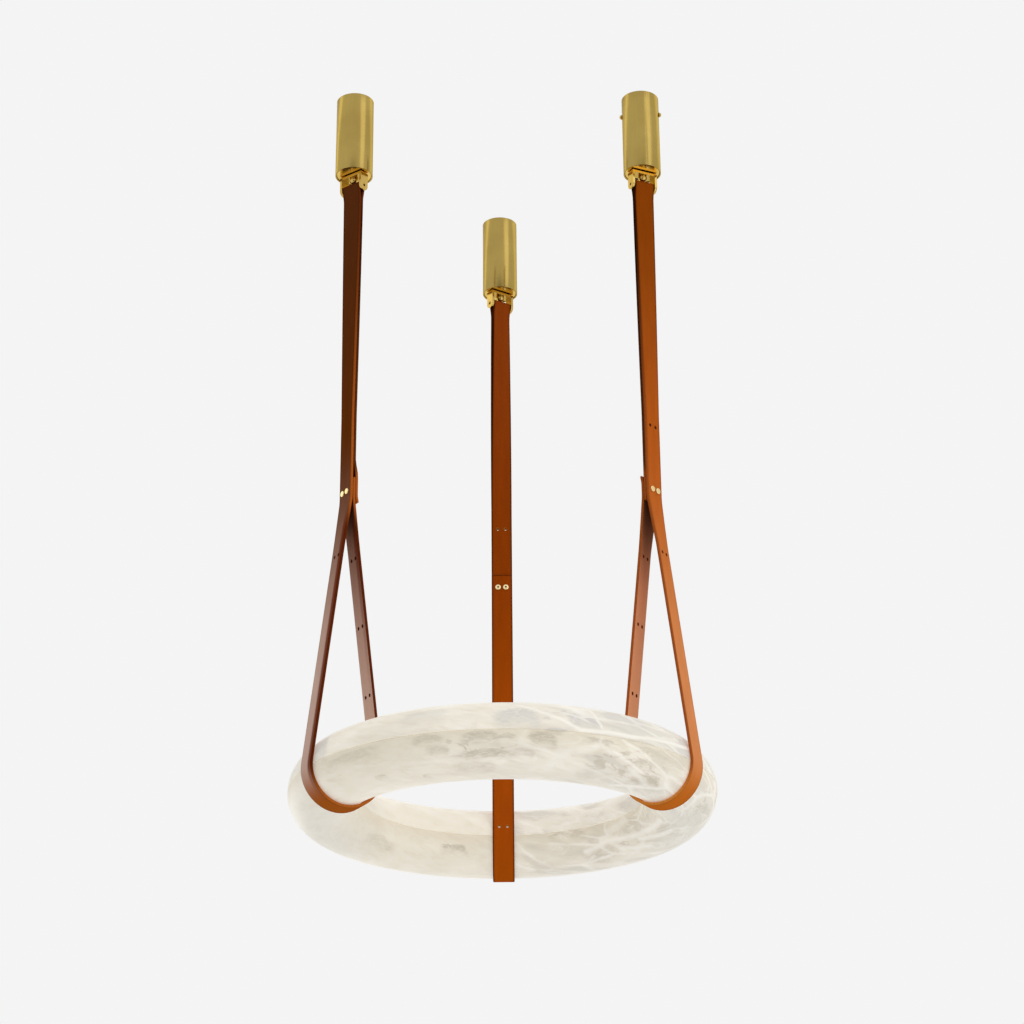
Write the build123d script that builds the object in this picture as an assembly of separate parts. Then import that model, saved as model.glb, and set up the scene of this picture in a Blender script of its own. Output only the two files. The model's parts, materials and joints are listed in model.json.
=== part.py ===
from build123d import *
import os
from math import asin, atan2, cos, hypot, radians, sin, sqrt, tan

# A pendant light: a hollow alabaster ring slung on three leather straps under brass canopies.
# Millimetres. The ring's axis is the z axis, z = 0 is the ceiling, +Z is up and -Y is the front.

# The alabaster ring, a tube bent to a circle and made as an upper and a lower half
RING_RADIUS = 250.0
TUBE_RADIUS = 50.0
SHELL_WALL = 12.0
RING_DROP = 1060.0
SEAM = 0.6
SEAM_RECESS = 1.0
SEAM_CHAMFER = 0.8

# The light source on its carrier plate inside the ring
CARRIER_THICKNESS = 3.0
CARRIER_LEDGE = 3.5
CARRIER_HOLE = 14.0
STRIP_WIDTH = 12.0
STRIP_THICKNESS = 0.8
LED_SIZE = 5.0
LED_HEIGHT = 1.6
LED_COUNT = 36
RING_TERMINAL = (24.0, 12.0, 10.0)
INLET_BORE = 5.0
INLET_BODY = 9.0
INLET_FLANGE = 14.0
INLET_FLANGE_HEIGHT = 2.0
INLET_SEAT_DEPTH = 1.0

# The hangers: their angles round the ring, how far the clevis and the strap's junction are
# turned from the strap's lower end, and the headings of the side screws in the canopy tube
HANGER_ANGLE = {"rear": 90.0, "left": 210.0, "right": 330.0}
CLEVIS_TURN = {"rear": 34.0, "left": 24.0, "right": -35.0}
JUNCTION_TURN = {"rear": 0.0, "left": 4.0, "right": -11.0}
SIDE_SCREW_HEADINGS = {"rear": [90.0], "left": [90.0], "right": [-6.0, 174.0]}
FEED = "right"

# Canopy
CANOPY_DIAMETER = 56.0
CANOPY_HEIGHT = 130.0
CANOPY_WALL = 2.0
CEILING_GAP = 0.3
PLATE_THICKNESS = 5.0
SPIGOT_HEIGHT = 36.0
SPIGOT_WALL = 3.0
CEILING_SCREW_HOLE = 5.5
CEILING_SCREW_OFFSET = 16.0
SIDE_SCREW_DROP = 28.0
SIDE_SCREW_DIAMETER = 4.0
THUMB_HEAD_DIAMETER = 7.0
THUMB_HEAD_LENGTH = 3.5
STEM_DIAMETER = 7.0
NUT_FLATS = 12.0
NUT_HEIGHT = 5.0
DISC_THICKNESS = 4.0
DISC_RECESS = 1.5
TERMINAL = (10.0, 20.0, 16.0)
GROMMET_BORE = 4.0
GROMMET_BODY = 7.0
GROMMET_FLANGE = 10.0
GROMMET_LIP = 1.0

# Clevis on its ball
SWING_GAP = 1.5
BRIDGE_THICKNESS = 4.0
CHEEK_THICKNESS = 4.0
CLEVIS_DEPTH = 16.0
BALL_RADIUS = 6.5
BALL_BELOW_BRIDGE = 3.0
NECK_GAP = 0.9
PIN_DIAMETER = 7.0
PIN_SOCKET = 4.0
PIN_SOCKET_DEPTH = 3.0

# Leather strap, one long band
STRAP_WIDTH = 32.0
LEATHER = 4.0
JUNCTION_RISE = 410.0
SPLIT_BELOW = 12.0
TAIL_BELOW = 18.0
END_ABOVE = 20.0
END_FLARE = 2.0
STRAP_BEND = 40.0
TAIL_INSIDE = {"rear": False, "left": True, "right": False}
TAIL_JOG = 20.0
TAIL_CLEAR = 5.0
LOOP_NECK = 20.0
TWIST_MARGIN = 10.0
TWIST_STEPS = 4
LEG_TWIST = 75.0
LEG_STEPS = 3
UNPUNCHED_COUNT = {"rear": 1, "left": 0, "right": 0}
HOLE_PITCH = 100.0
HOLE_SPACING = 12.0
HOLE_DIAMETER = 4.0
POST_DIAMETER = 5.0
POST_HEAD = 9.0
POST_HEAD_THICKNESS = 2.0
POST_SCREW_DIAMETER = 3.0
POST_HEAD_ROUND = 1.2
POST_SOCKET = 3.0
POST_SOCKET_DEPTH = 1.6

# Clearances
SLIDE_GAP = 0.3
SEAT_GAP = 0.15
LAYER_GAP = 0.2
CHEEK_GAP = 0.5
SLING_OUTER_GAP = 0.4
SLING_INNER_GAP = 1.3
SLING_BOTTOM_GAP = 1.3
CUT_PAST = 1.0

# Heights and radii that follow from the sizes above
RING_Z = -RING_DROP
CAVITY_RADIUS = TUBE_RADIUS - SHELL_WALL
JUNCTION_Z = RING_Z + JUNCTION_RISE
SPLIT_Z = JUNCTION_Z - SPLIT_BELOW
CANOPY_BORE = CANOPY_DIAMETER / 2 - CANOPY_WALL
SPIGOT_RADIUS = CANOPY_BORE - SLIDE_GAP
DISC_BOTTOM = -CANOPY_HEIGHT + DISC_RECESS
DISC_TOP = DISC_BOTTOM + DISC_THICKNESS
BRIDGE_TOP = DISC_BOTTOM - SWING_GAP
BRIDGE_BOTTOM = BRIDGE_TOP - BRIDGE_THICKNESS
BALL_Z = BRIDGE_BOTTOM - BALL_BELOW_BRIDGE
LOOP_RADIUS = PIN_DIAMETER / 2 + LAYER_GAP + LEATHER / 2
PIN_Z = BALL_Z - BALL_RADIUS - CHEEK_GAP - LOOP_RADIUS - LEATHER / 2
CHEEK_INSIDE = STRAP_WIDTH / 2 + CHEEK_GAP
CHEEK_OUTSIDE = CHEEK_INSIDE + CHEEK_THICKNESS
LAYER_PITCH = LEATHER + LAYER_GAP
LAYER_OFFSET = LAYER_PITCH / 2
TWIST_TOP = PIN_Z - LOOP_NECK - TWIST_MARGIN
TWIST_BOTTOM = JUNCTION_Z + HOLE_PITCH + 2 * TWIST_MARGIN
CARRIER_TOP = RING_Z + SEAM / 2
CARRIER_BOTTOM = CARRIER_TOP - CARRIER_THICKNESS


def upright(radius, bottom, top):
    """A vertical cylinder between two heights."""
    return Pos(0, 0, (bottom + top) / 2) * Cylinder(radius, top - bottom)


def block(size_x, size_y, bottom, top):
    """A block centred on the z axis between two heights."""
    return Pos(0, 0, (bottom + top) / 2) * Box(size_x, size_y, top - bottom)


def lying(radius, start, end):
    """A cylinder along the x axis between two places."""
    return Pos((start + end) / 2, 0, 0) * Rot(0, 90, 0) * Cylinder(radius, end - start)


def lying_hexagon(flats, start, end):
    """A six-sided prism along the x axis between two places."""
    profile = Plane.YZ.offset(start) * RegularPolygon(flats / sqrt(3), 6)
    return extrude(profile, end - start, dir=(1, 0, 0))


def at_hanger(name, shape):
    """Move a shape from a hanger's own frame, x along the ring and y outwards, to its place."""
    angle = HANGER_ANGLE[name]
    x = RING_RADIUS * cos(radians(angle))
    y = RING_RADIUS * sin(radians(angle))
    return Location((x, y, 0), (0, 0, angle - 90)) * shape


def with_clevis(name, shape):
    """Turn a shape to the heading of a hanger's clevis."""
    return Rot(0, 0, CLEVIS_TURN[name]) * shape


def with_junction(name, shape):
    """Turn a shape to the heading of a hanger's strap junction."""
    return Rot(0, 0, JUNCTION_TURN[name]) * shape


# The ring

def tube_section():
    """The wall of the ring's tube, cut across."""
    return Circle(TUBE_RADIUS) - Circle(CAVITY_RADIUS)


def half_section(side):
    """The upper (side 1) or lower (side -1) half of the wall, with its outer seam edges eased."""
    half = Pos(0, side * (TUBE_RADIUS + SEAM) / 2) * Rectangle(3 * TUBE_RADIUS, TUBE_RADIUS)
    section = tube_section() & half
    rim = [v for v in section.vertices() if hypot(v.X, v.Y) > TUBE_RADIUS - SEAM]
    return chamfer(rim, SEAM_CHAMFER)


def turned_ring(section):
    """A section drawn about the tube's centre, turned round the ring's axis."""
    middle = Plane((RING_RADIUS, 0, RING_Z), x_dir=(1, 0, 0), z_dir=(0, -1, 0))
    return revolve(middle * section, Axis.Z)


def upper_shell():
    """The upper half, with a flat seat and a hole on its crest where the lead comes in."""
    crest = RING_Z + TUBE_RADIUS
    hole = upright(INLET_BODY / 2 + SLIDE_GAP, RING_Z, crest + SHELL_WALL)
    seat = upright(INLET_FLANGE / 2 + SLIDE_GAP, crest - INLET_SEAT_DEPTH, crest + SHELL_WALL)
    return turned_ring(half_section(1)) - at_hanger(FEED, hole + seat)


def lower_shell():
    """The lower half, stepped inside to take the carrier plate."""
    floor = SEAM / 2 - CARRIER_THICKNESS
    step = Pos(0, floor + TUBE_RADIUS / 2) * Rectangle(2 * (CAVITY_RADIUS + CARRIER_LEDGE), TUBE_RADIUS)
    return turned_ring(half_section(-1) - step)


def seam_gaskets():
    """The two thin rings that bond the halves, set back from the outside."""
    inner = CAVITY_RADIUS + CARRIER_LEDGE + SLIDE_GAP
    width = TUBE_RADIUS - SEAM_RECESS - inner
    offset = inner + width / 2
    return [turned_ring(Pos(side * offset, 0) * Rectangle(width, SEAM)) for side in (-1, 1)]


def flat_ring(width, bottom, top):
    """A flat ring of the given width that follows the tube's centre line."""
    outer = upright(RING_RADIUS + width / 2, bottom, top)
    return outer - upright(RING_RADIUS - width / 2, bottom - CUT_PAST, top + CUT_PAST)


def carrier():
    """The aluminium plate that carries the light strips, with holes for their wires."""
    plate = flat_ring(2 * (CAVITY_RADIUS + CARRIER_LEDGE - SLIDE_GAP), CARRIER_BOTTOM, CARRIER_TOP)
    hole = upright(CARRIER_HOLE / 2, CARRIER_BOTTOM - CUT_PAST, CARRIER_TOP + CUT_PAST)
    beside_strip = STRIP_WIDTH / 2 + CARRIER_HOLE / 2 + SLIDE_GAP
    for name in HANGER_ANGLE:
        plate -= at_hanger(name, Pos(0, -beside_strip, 0) * hole)
    return plate


def strip(side):
    """A light strip on the carrier's upper (side 1) or lower (side -1) face."""
    if side > 0:
        return flat_ring(STRIP_WIDTH, CARRIER_TOP, CARRIER_TOP + STRIP_THICKNESS)
    return flat_ring(STRIP_WIDTH, CARRIER_BOTTOM - STRIP_THICKNESS, CARRIER_BOTTOM)


def leds(side):
    """The light-emitting packages along a strip."""
    if side > 0:
        bottom = CARRIER_TOP + STRIP_THICKNESS
    else:
        bottom = CARRIER_BOTTOM - STRIP_THICKNESS - LED_HEIGHT
    package = Pos(RING_RADIUS, 0, 0) * block(LED_SIZE, LED_SIZE, bottom, bottom + LED_HEIGHT)
    return [Rot(0, 0, 360 * (i + 0.5) / LED_COUNT) * package for i in range(LED_COUNT)]


def ring_terminal():
    """The block on the carrier where the lead meets the strips."""
    length, width, height = RING_TERMINAL
    outward = STRIP_WIDTH / 2 + width / 2 + SLIDE_GAP
    return at_hanger(FEED, Pos(0, outward, 0) * block(length, width, CARRIER_TOP, CARRIER_TOP + height))


def inlet_bush():
    """The flanged bush on the ring's crest that the lead passes through."""
    seat = RING_Z + TUBE_RADIUS - INLET_SEAT_DEPTH
    bush = upright(INLET_FLANGE / 2, seat, seat + INLET_FLANGE_HEIGHT)
    bush += upright(INLET_BODY / 2, seat - SHELL_WALL, seat)
    bush -= upright(INLET_BORE / 2, seat - SHELL_WALL - CUT_PAST, seat + INLET_FLANGE_HEIGHT + CUT_PAST)
    return at_hanger(FEED, bush)


# The canopies

def ceiling_plate(name):
    """The plate screwed to the ceiling, with the spigot that the canopy tube goes over."""
    plate = upright(SPIGOT_RADIUS, -SPIGOT_HEIGHT, 0)
    plate -= upright(SPIGOT_RADIUS - SPIGOT_WALL, -SPIGOT_HEIGHT - CUT_PAST, -PLATE_THICKNESS)
    plate -= upright(STEM_DIAMETER / 2, -SPIGOT_HEIGHT, CUT_PAST)
    screw_hole = upright(CEILING_SCREW_HOLE / 2, -SPIGOT_HEIGHT, CUT_PAST)
    for side in (-1, 1):
        plate -= Pos(0, side * CEILING_SCREW_OFFSET, 0) * screw_hole
    return at_hanger(name, plate)


def stem(name):
    """The rod down the middle of a canopy; the ball on its end carries the clevis."""
    rod = upright(STEM_DIAMETER / 2, BALL_Z, -CEILING_GAP)
    return at_hanger(name, rod + Pos(0, 0, BALL_Z) * Sphere(BALL_RADIUS))


def lock_nuts(name):
    """The nut under the ceiling plate and the nut on top of the bottom disc."""
    profile = RegularPolygon(NUT_FLATS / sqrt(3), 6) - Circle(STEM_DIAMETER / 2)
    nut = extrude(profile, NUT_HEIGHT)
    under_plate = Pos(0, 0, -PLATE_THICKNESS - NUT_HEIGHT) * nut
    on_disc = Pos(0, 0, DISC_TOP) * nut
    return [at_hanger(name, piece) for piece in (under_plate, on_disc)]


def grommet_offset():
    """How far the lead's way out lies from the canopy's axis, clear of the clevis."""
    clear = CLEVIS_DEPTH / 2 + GROMMET_FLANGE / 2
    return (clear + SPIGOT_RADIUS - GROMMET_FLANGE / 2) / 2


def bottom_disc(name):
    """The disc that closes a canopy, screwed on to the stem."""
    disc = upright(SPIGOT_RADIUS, DISC_BOTTOM, DISC_TOP)
    disc -= upright(STEM_DIAMETER / 2, DISC_BOTTOM - CUT_PAST, DISC_TOP + CUT_PAST)
    if name == FEED:
        hole = upright(GROMMET_BODY / 2 + SEAT_GAP, DISC_BOTTOM - CUT_PAST, DISC_TOP + CUT_PAST)
        disc -= with_clevis(name, Pos(0, -grommet_offset(), 0) * hole)
    return at_hanger(name, disc)


def lead_grommet(name):
    """The bush in the bottom disc where the lead leaves the canopy."""
    grommet = upright(GROMMET_BODY / 2, DISC_BOTTOM, DISC_TOP + GROMMET_LIP)
    grommet += upright(GROMMET_FLANGE / 2, DISC_TOP, DISC_TOP + GROMMET_LIP)
    grommet -= upright(GROMMET_BORE / 2, DISC_BOTTOM - CUT_PAST, DISC_TOP + GROMMET_LIP + CUT_PAST)
    return at_hanger(name, with_clevis(name, Pos(0, -grommet_offset(), 0) * grommet))


def terminal_block(name):
    """The mains terminal under the ceiling plate, beside the stem."""
    width, length, height = TERMINAL
    beside = NUT_FLATS / sqrt(3) + width / 2 + SLIDE_GAP
    bottom = -PLATE_THICKNESS - height
    return at_hanger(name, Pos(beside, 0, 0) * block(width, length, bottom, -PLATE_THICKNESS))


def to_heading(name, heading, shape):
    """Turn a shape that lies along x to a compass heading of the whole light."""
    local = heading - (HANGER_ANGLE[name] - 90)
    return at_hanger(name, Rot(0, 0, local) * Pos(0, 0, -SIDE_SCREW_DROP) * shape)


def canopy_tube(name):
    """The brass tube of a canopy, tapped for its side screws."""
    tube = upright(CANOPY_DIAMETER / 2, -CANOPY_HEIGHT, -CEILING_GAP)
    tube -= upright(CANOPY_BORE, -CANOPY_HEIGHT - CUT_PAST, CUT_PAST)
    tube = at_hanger(name, tube)
    for heading in SIDE_SCREW_HEADINGS[name]:
        hole = lying(SIDE_SCREW_DIAMETER / 2, CANOPY_BORE - CUT_PAST, CANOPY_DIAMETER / 2 + CUT_PAST)
        tube -= to_heading(name, heading, hole)
    return tube


def side_screws(name):
    """Thumb screws on the feed canopy, a flush set screw on each of the others."""
    tip = SPIGOT_RADIUS + SLIDE_GAP / 2
    outside = CANOPY_DIAMETER / 2
    screw = lying(SIDE_SCREW_DIAMETER / 2, tip, outside)
    if name == FEED:
        head = lying(THUMB_HEAD_DIAMETER / 2, outside, outside + THUMB_HEAD_LENGTH)
        screw += chamfer(head.faces().sort_by(Axis.X)[-1].edges(), THUMB_HEAD_LENGTH / 2)
    else:
        screw -= lying_hexagon(SIDE_SCREW_DIAMETER / 2, outside - CANOPY_WALL / 2, outside + CUT_PAST)
    return [to_heading(name, heading, screw) for heading in SIDE_SCREW_HEADINGS[name]]


# The clevises

def clevis(name):
    """A bridge that sits on the stem's ball and two round-ended cheeks that hold the pin."""
    body = block(2 * CHEEK_OUTSIDE, CLEVIS_DEPTH, BRIDGE_BOTTOM, BRIDGE_TOP)
    cheek = block(CHEEK_THICKNESS, CLEVIS_DEPTH, PIN_Z, BRIDGE_BOTTOM)
    cheek += Pos(0, 0, PIN_Z) * lying(CLEVIS_DEPTH / 2, -CHEEK_THICKNESS / 2, CHEEK_THICKNESS / 2)
    for side in (-1, 1):
        body += Pos(side * (CHEEK_INSIDE + CHEEK_OUTSIDE) / 2, 0, 0) * cheek
    body -= upright(STEM_DIAMETER / 2 + NECK_GAP, BRIDGE_BOTTOM - CUT_PAST, BRIDGE_TOP + CUT_PAST)
    body -= Pos(0, 0, BALL_Z) * Sphere(BALL_RADIUS + SEAT_GAP)
    body -= Pos(0, 0, PIN_Z) * lying(PIN_DIAMETER / 2, -CHEEK_OUTSIDE - CUT_PAST, CHEEK_OUTSIDE + CUT_PAST)
    return at_hanger(name, with_clevis(name, body))


def clevis_pin(name):
    """The pin that the strap hangs over, with a socket in each end."""
    pin = lying(PIN_DIAMETER / 2, -CHEEK_OUTSIDE, CHEEK_OUTSIDE)
    for side in (-1, 1):
        ends = sorted((side * (CHEEK_OUTSIDE - PIN_SOCKET_DEPTH), side * (CHEEK_OUTSIDE + CUT_PAST)))
        pin -= lying_hexagon(PIN_SOCKET, *ends)
    return at_hanger(name, with_clevis(name, Pos(0, 0, PIN_Z) * pin))


# The straps

def tangent_point(point, centre, radius, side):
    """Where a straight run from a point touches a circle, to the left of it (1) or right (-1)."""
    reach = hypot(centre[0] - point[0], centre[1] - point[1])
    heading = atan2(centre[1] - point[1], centre[0] - point[0]) + side * asin(radius / reach)
    run = sqrt(reach**2 - radius**2)
    return (point[0] + run * cos(heading), point[1] + run * sin(heading))


def across(point):
    """A point of the strap's side view, outwards and up, in space."""
    return Vector(0, point[0], point[1])


def rounded_run(points):
    """Straight lines through the points with their corners rounded."""
    edges = []
    start = across(points[0])
    for here, after in zip(points[1:-1], points[2:]):
        corner = across(here)
        into = (corner - start).normalized()
        out = (across(after) - corner).normalized()
        cut = STRAP_BEND * tan(radians(into.get_angle(out)) / 2)
        edges.append(Line(start, corner - into * cut))
        edges.append(TangentArc(corner - into * cut, corner + out * cut, tangent=into))
        start = corner + out * cut
    edges.append(Line(start, across(points[-1])))
    return edges


def band(edges, ahead):
    """Leather swept along edges that set out in the given direction."""
    path = Wire(edges)
    start = Plane(path.position_at(0), x_dir=(1, 0, 0), z_dir=ahead)
    return sweep(start * Rectangle(STRAP_WIDTH, LEATHER), path=path)


def run_of_band(points):
    """A band of leather along straight lines with their corners rounded."""
    return band(rounded_run(points), across(points[1]) - across(points[0]))


def looped_band(before, centre, radius, after):
    """A band of leather that runs to a circle, round it and away again."""
    touch_in = tangent_point(before[-1], centre, radius, 1)
    touch_out = tangent_point(after[0], centre, radius, -1)
    arriving = across(touch_in) - across(before[-1])
    arrival = before + [touch_in]
    edges = rounded_run(arrival)
    edges.append(TangentArc(across(touch_in), across(touch_out), tangent=arriving))
    edges += rounded_run([touch_out] + after)
    return band(edges, across(arrival[1]) - across(arrival[0]))


def sling_centre():
    """The middle of the loop round the ring's tube, in the strap's side view."""
    inwards = (SLING_INNER_GAP - SLING_OUTER_GAP) / 2
    down = SLING_BOTTOM_GAP - (SLING_INNER_GAP + SLING_OUTER_GAP) / 2
    return (-inwards, RING_Z - down)


def sling_radius():
    """The radius of the middle of the leather round the ring's tube."""
    return TUBE_RADIUS + (SLING_INNER_GAP + SLING_OUTER_GAP) / 2 + LEATHER / 2


def inner_layers(name):
    """How far out the tail and the inner leg lie at the junction, one behind the other."""
    middle = -LAYER_OFFSET
    inside = -LAYER_OFFSET - LAYER_PITCH
    return (inside, middle) if TAIL_INSIDE[name] else (middle, inside)


def leg_tops(name):
    """Where the outer and the inner leg part from each other under the junction."""
    return (LAYER_OFFSET, SPLIT_Z), (inner_layers(name)[1], SPLIT_Z)


def leg_direction(top, side):
    """The direction from a leg's top down to the ring, and the length of its straight run."""
    touch = tangent_point(top, sling_centre(), sling_radius(), side)
    run = hypot(touch[0] - top[0], touch[1] - top[1])
    return ((touch[0] - top[0]) / run, (touch[1] - top[1]) / run), run


def down_leg(top, side, distance):
    """A place on a leg's straight run, so far below its top."""
    along, _ = leg_direction(top, side)
    return (top[0] + distance * along[0], top[1] + distance * along[1])


def leather_section(point, turn, ahead):
    """The leather cut across at a point of the side view turned about the hanger's axis."""
    angle = radians(turn)
    middle = (-point[0] * sin(angle), point[0] * cos(angle), point[1])
    normal = (-ahead[0] * sin(angle), ahead[0] * cos(angle), ahead[1])
    plane = Plane(middle, x_dir=(cos(angle), sin(angle), 0), z_dir=normal)
    return plane * Rectangle(STRAP_WIDTH, LEATHER)


def twisted_leg(name, top, side):
    """The top of a leg, which turns from the junction's heading to the ring's on the way down."""
    along, _ = leg_direction(top, side)
    sections = [leather_section(top, JUNCTION_TURN[name], (0, -1))]
    for i in range(1, LEG_STEPS + 1):
        part = i / LEG_STEPS
        point = down_leg(top, side, part * LEG_TWIST)
        sections.append(leather_section(point, JUNCTION_TURN[name] * (1 - part), along))
    return loft(sections)


def sling(name):
    """The strap's lower half: down the outer leg, under the ring and up the inner leg."""
    outer_top, inner_top = leg_tops(name)
    outer_foot = down_leg(outer_top, 1, LEG_TWIST)
    inner_foot = down_leg(inner_top, -1, LEG_TWIST)
    loop = looped_band([outer_foot], sling_centre(), sling_radius(), [inner_foot])
    return loop + twisted_leg(name, outer_top, 1) + twisted_leg(name, inner_top, -1)


def pin_loop():
    """The top of the strap, looped over the clevis pin."""
    neck = PIN_Z - LOOP_NECK
    before = [(-LAYER_OFFSET, TWIST_TOP), (-LAYER_OFFSET, neck)]
    after = [(LAYER_OFFSET, neck), (LAYER_OFFSET, TWIST_TOP)]
    return looped_band(before, (0, PIN_Z), LOOP_RADIUS, after)


def twisted_layer(name, side):
    """One layer of the strap between clevis and junction, turning on the way down."""
    sections = []
    for i in range(TWIST_STEPS + 1):
        part = i / TWIST_STEPS
        turn = CLEVIS_TURN[name] + part * (JUNCTION_TURN[name] - CLEVIS_TURN[name])
        height = TWIST_TOP + part * (TWIST_BOTTOM - TWIST_TOP)
        sections.append(leather_section((side * LAYER_OFFSET, height), turn, (0, -1)))
    return loft(sections)


def outer_layer():
    """The outer layer from the twist down to where the legs part."""
    return run_of_band([(LAYER_OFFSET, TWIST_BOTTOM), (LAYER_OFFSET, SPLIT_Z)])


def tail(name):
    """The inner layer's end, from the twist down; an outside end jogs over the leg and flares."""
    place, _ = inner_layers(name)
    end_z = JUNCTION_Z - TAIL_BELOW
    top = (-LAYER_OFFSET, TWIST_BOTTOM)
    if not TAIL_INSIDE[name]:
        return run_of_band([top, (place, end_z)])
    jog_bottom = JUNCTION_Z + END_ABOVE + TAIL_CLEAR
    jog = [(-LAYER_OFFSET, jog_bottom + TAIL_JOG), (place, jog_bottom)]
    flare = [(place, JUNCTION_Z - TAIL_BELOW / 2), (place - END_FLARE, end_z)]
    return run_of_band([top] + jog + flare)


def leg_end(name):
    """The inner leg's end above the split, flared where it lies outside the tail."""
    _, place = inner_layers(name)
    end_z = JUNCTION_Z + END_ABOVE
    if TAIL_INSIDE[name]:
        return run_of_band([(place, SPLIT_Z), (place, end_z)])
    return run_of_band([(place, SPLIT_Z), (place, JUNCTION_Z + END_ABOVE / 2), (place - END_FLARE, end_z)])


def hole_pair(point, heading, diameter):
    """Two cutters side by side through up to three layers, along a heading in the side view."""
    cutter = Cylinder(diameter / 2, 2 * 3 * LAYER_PITCH)
    place = Plane(across(point), x_dir=(1, 0, 0), z_dir=across(heading))
    pair = Pos(-HOLE_SPACING / 2, 0, 0) * cutter + Pos(HOLE_SPACING / 2, 0, 0) * cutter
    return place * pair


def leg_holes(top, side):
    """Cutters for the pairs of adjusting holes that a leg's straight run has room for."""
    along, run = leg_direction(top, side)
    count = int((run + SPLIT_BELOW - HOLE_DIAMETER) // HOLE_PITCH)
    pairs = []
    for i in range(1, count + 1):
        point = down_leg(top, side, i * HOLE_PITCH - SPLIT_BELOW)
        pairs.append(hole_pair(point, (along[1], -along[0]), HOLE_DIAMETER))
    return pairs


def strap(name):
    """One band of leather: tail, inner layer, loop over the pin, outer layer, legs and sling."""
    junction = outer_layer() + tail(name) + leg_end(name)
    junction -= hole_pair((0, JUNCTION_Z), (1, 0), POST_DIAMETER + LAYER_GAP)
    junction -= hole_pair((0, JUNCTION_Z + HOLE_PITCH), (1, 0), HOLE_DIAMETER)
    legs = sling(name)
    outer_top, inner_top = leg_tops(name)
    for cutters in leg_holes(outer_top, 1)[:1] + leg_holes(inner_top, -1)[UNPUNCHED_COUNT[name]:]:
        legs -= cutters
    upper = twisted_layer(name, -1) + twisted_layer(name, 1) + with_clevis(name, pin_loop())
    return at_hanger(name, upper + with_junction(name, junction) + legs)


def post_faces():
    """The inner and outer faces of the leather where the screw posts clamp it."""
    return -LAYER_OFFSET - LAYER_PITCH - LEATHER / 2, LAYER_OFFSET + LEATHER / 2


def side_by_side(name, post):
    """A pair of fasteners drawn along x, set across the strap at the junction."""
    upended = Pos(0, 0, JUNCTION_Z) * Rot(0, 0, 90) * post
    pair = [Pos(side * HOLE_SPACING / 2, 0, 0) * upended for side in (-1, 1)]
    return [at_hanger(name, with_junction(name, piece)) for piece in pair]


def posts(name):
    """The outer halves of the screw posts: a domed head and a tapped barrel through the leather."""
    inner, outer = post_faces()
    head = lying(POST_HEAD / 2, outer, outer + POST_HEAD_THICKNESS)
    head = fillet(head.faces().sort_by(Axis.X)[-1].edges(), POST_HEAD_ROUND)
    post = head + lying(POST_DIAMETER / 2, inner, outer)
    post -= lying(POST_SCREW_DIAMETER / 2, inner - CUT_PAST, outer)
    return side_by_side(name, post)


def post_screws(name):
    """The inner halves of the screw posts: a domed head with a socket and a short shank."""
    inner, outer = post_faces()
    face = inner - POST_HEAD_THICKNESS
    head = lying(POST_HEAD / 2, face, inner)
    head = fillet(head.faces().sort_by(Axis.X)[0].edges(), POST_HEAD_ROUND)
    screw = head + lying(POST_SCREW_DIAMETER / 2, inner, (inner + outer) / 2)
    screw -= lying_hexagon(POST_SOCKET, face - CUT_PAST, face + POST_SOCKET_DEPTH)
    return side_by_side(name, screw)


def all_nodes():
    """Every piece of the light under its name."""
    nodes = {
        "shell_upper": upper_shell(),
        "shell_lower": lower_shell(),
        "seam_gaskets": seam_gaskets(),
        "led_carrier": carrier(),
        "led_strip_upper": strip(1),
        "led_strip_lower": strip(-1),
        "leds_upper": leds(1),
        "leds_lower": leds(-1),
        "ring_terminal": ring_terminal(),
        "inlet_bush": inlet_bush(),
        "terminal_block": terminal_block(FEED),
        "lead_grommet": lead_grommet(FEED),
    }
    makers = [
        ceiling_plate, stem, lock_nuts, bottom_disc, canopy_tube, side_screws,
        clevis, clevis_pin, strap, posts, post_screws,
    ]
    for name in HANGER_ANGLE:
        for make in makers:
            nodes[make.__name__ + "_" + name] = make(name)
    return nodes


os.makedirs("parts", exist_ok=True)
for node, shape in all_nodes().items():
    if isinstance(shape, list):
        shape = Compound(children=shape)
    export_step(shape, "parts/" + node + ".step")
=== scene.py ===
import json
from bisect import bisect_right
from math import asin, atan2, ceil, cos, hypot, pi, radians, sin, sqrt, tan

import bmesh
import bpy
from mathutils import Matrix, Vector


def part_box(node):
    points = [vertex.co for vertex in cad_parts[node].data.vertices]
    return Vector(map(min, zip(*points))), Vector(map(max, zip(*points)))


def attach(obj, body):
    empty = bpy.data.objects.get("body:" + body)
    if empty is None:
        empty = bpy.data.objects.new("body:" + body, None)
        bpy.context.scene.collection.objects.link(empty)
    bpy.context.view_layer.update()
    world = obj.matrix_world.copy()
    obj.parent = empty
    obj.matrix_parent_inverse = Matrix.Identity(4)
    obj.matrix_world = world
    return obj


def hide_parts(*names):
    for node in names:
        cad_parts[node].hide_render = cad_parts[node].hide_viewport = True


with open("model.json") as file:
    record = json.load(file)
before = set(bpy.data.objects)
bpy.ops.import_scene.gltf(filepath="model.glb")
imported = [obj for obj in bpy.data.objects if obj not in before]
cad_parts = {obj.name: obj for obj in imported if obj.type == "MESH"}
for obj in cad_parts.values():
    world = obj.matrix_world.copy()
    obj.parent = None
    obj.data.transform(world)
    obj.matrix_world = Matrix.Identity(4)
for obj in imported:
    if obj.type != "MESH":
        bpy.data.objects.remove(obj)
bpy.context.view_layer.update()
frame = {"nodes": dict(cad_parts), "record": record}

# The look of a pendant light: an alabaster ring slung on leather straps under brass canopies.
# Metres. The ring's axis is the z axis, z = 0 is the ceiling, +Z is up and -Y is the front.


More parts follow.
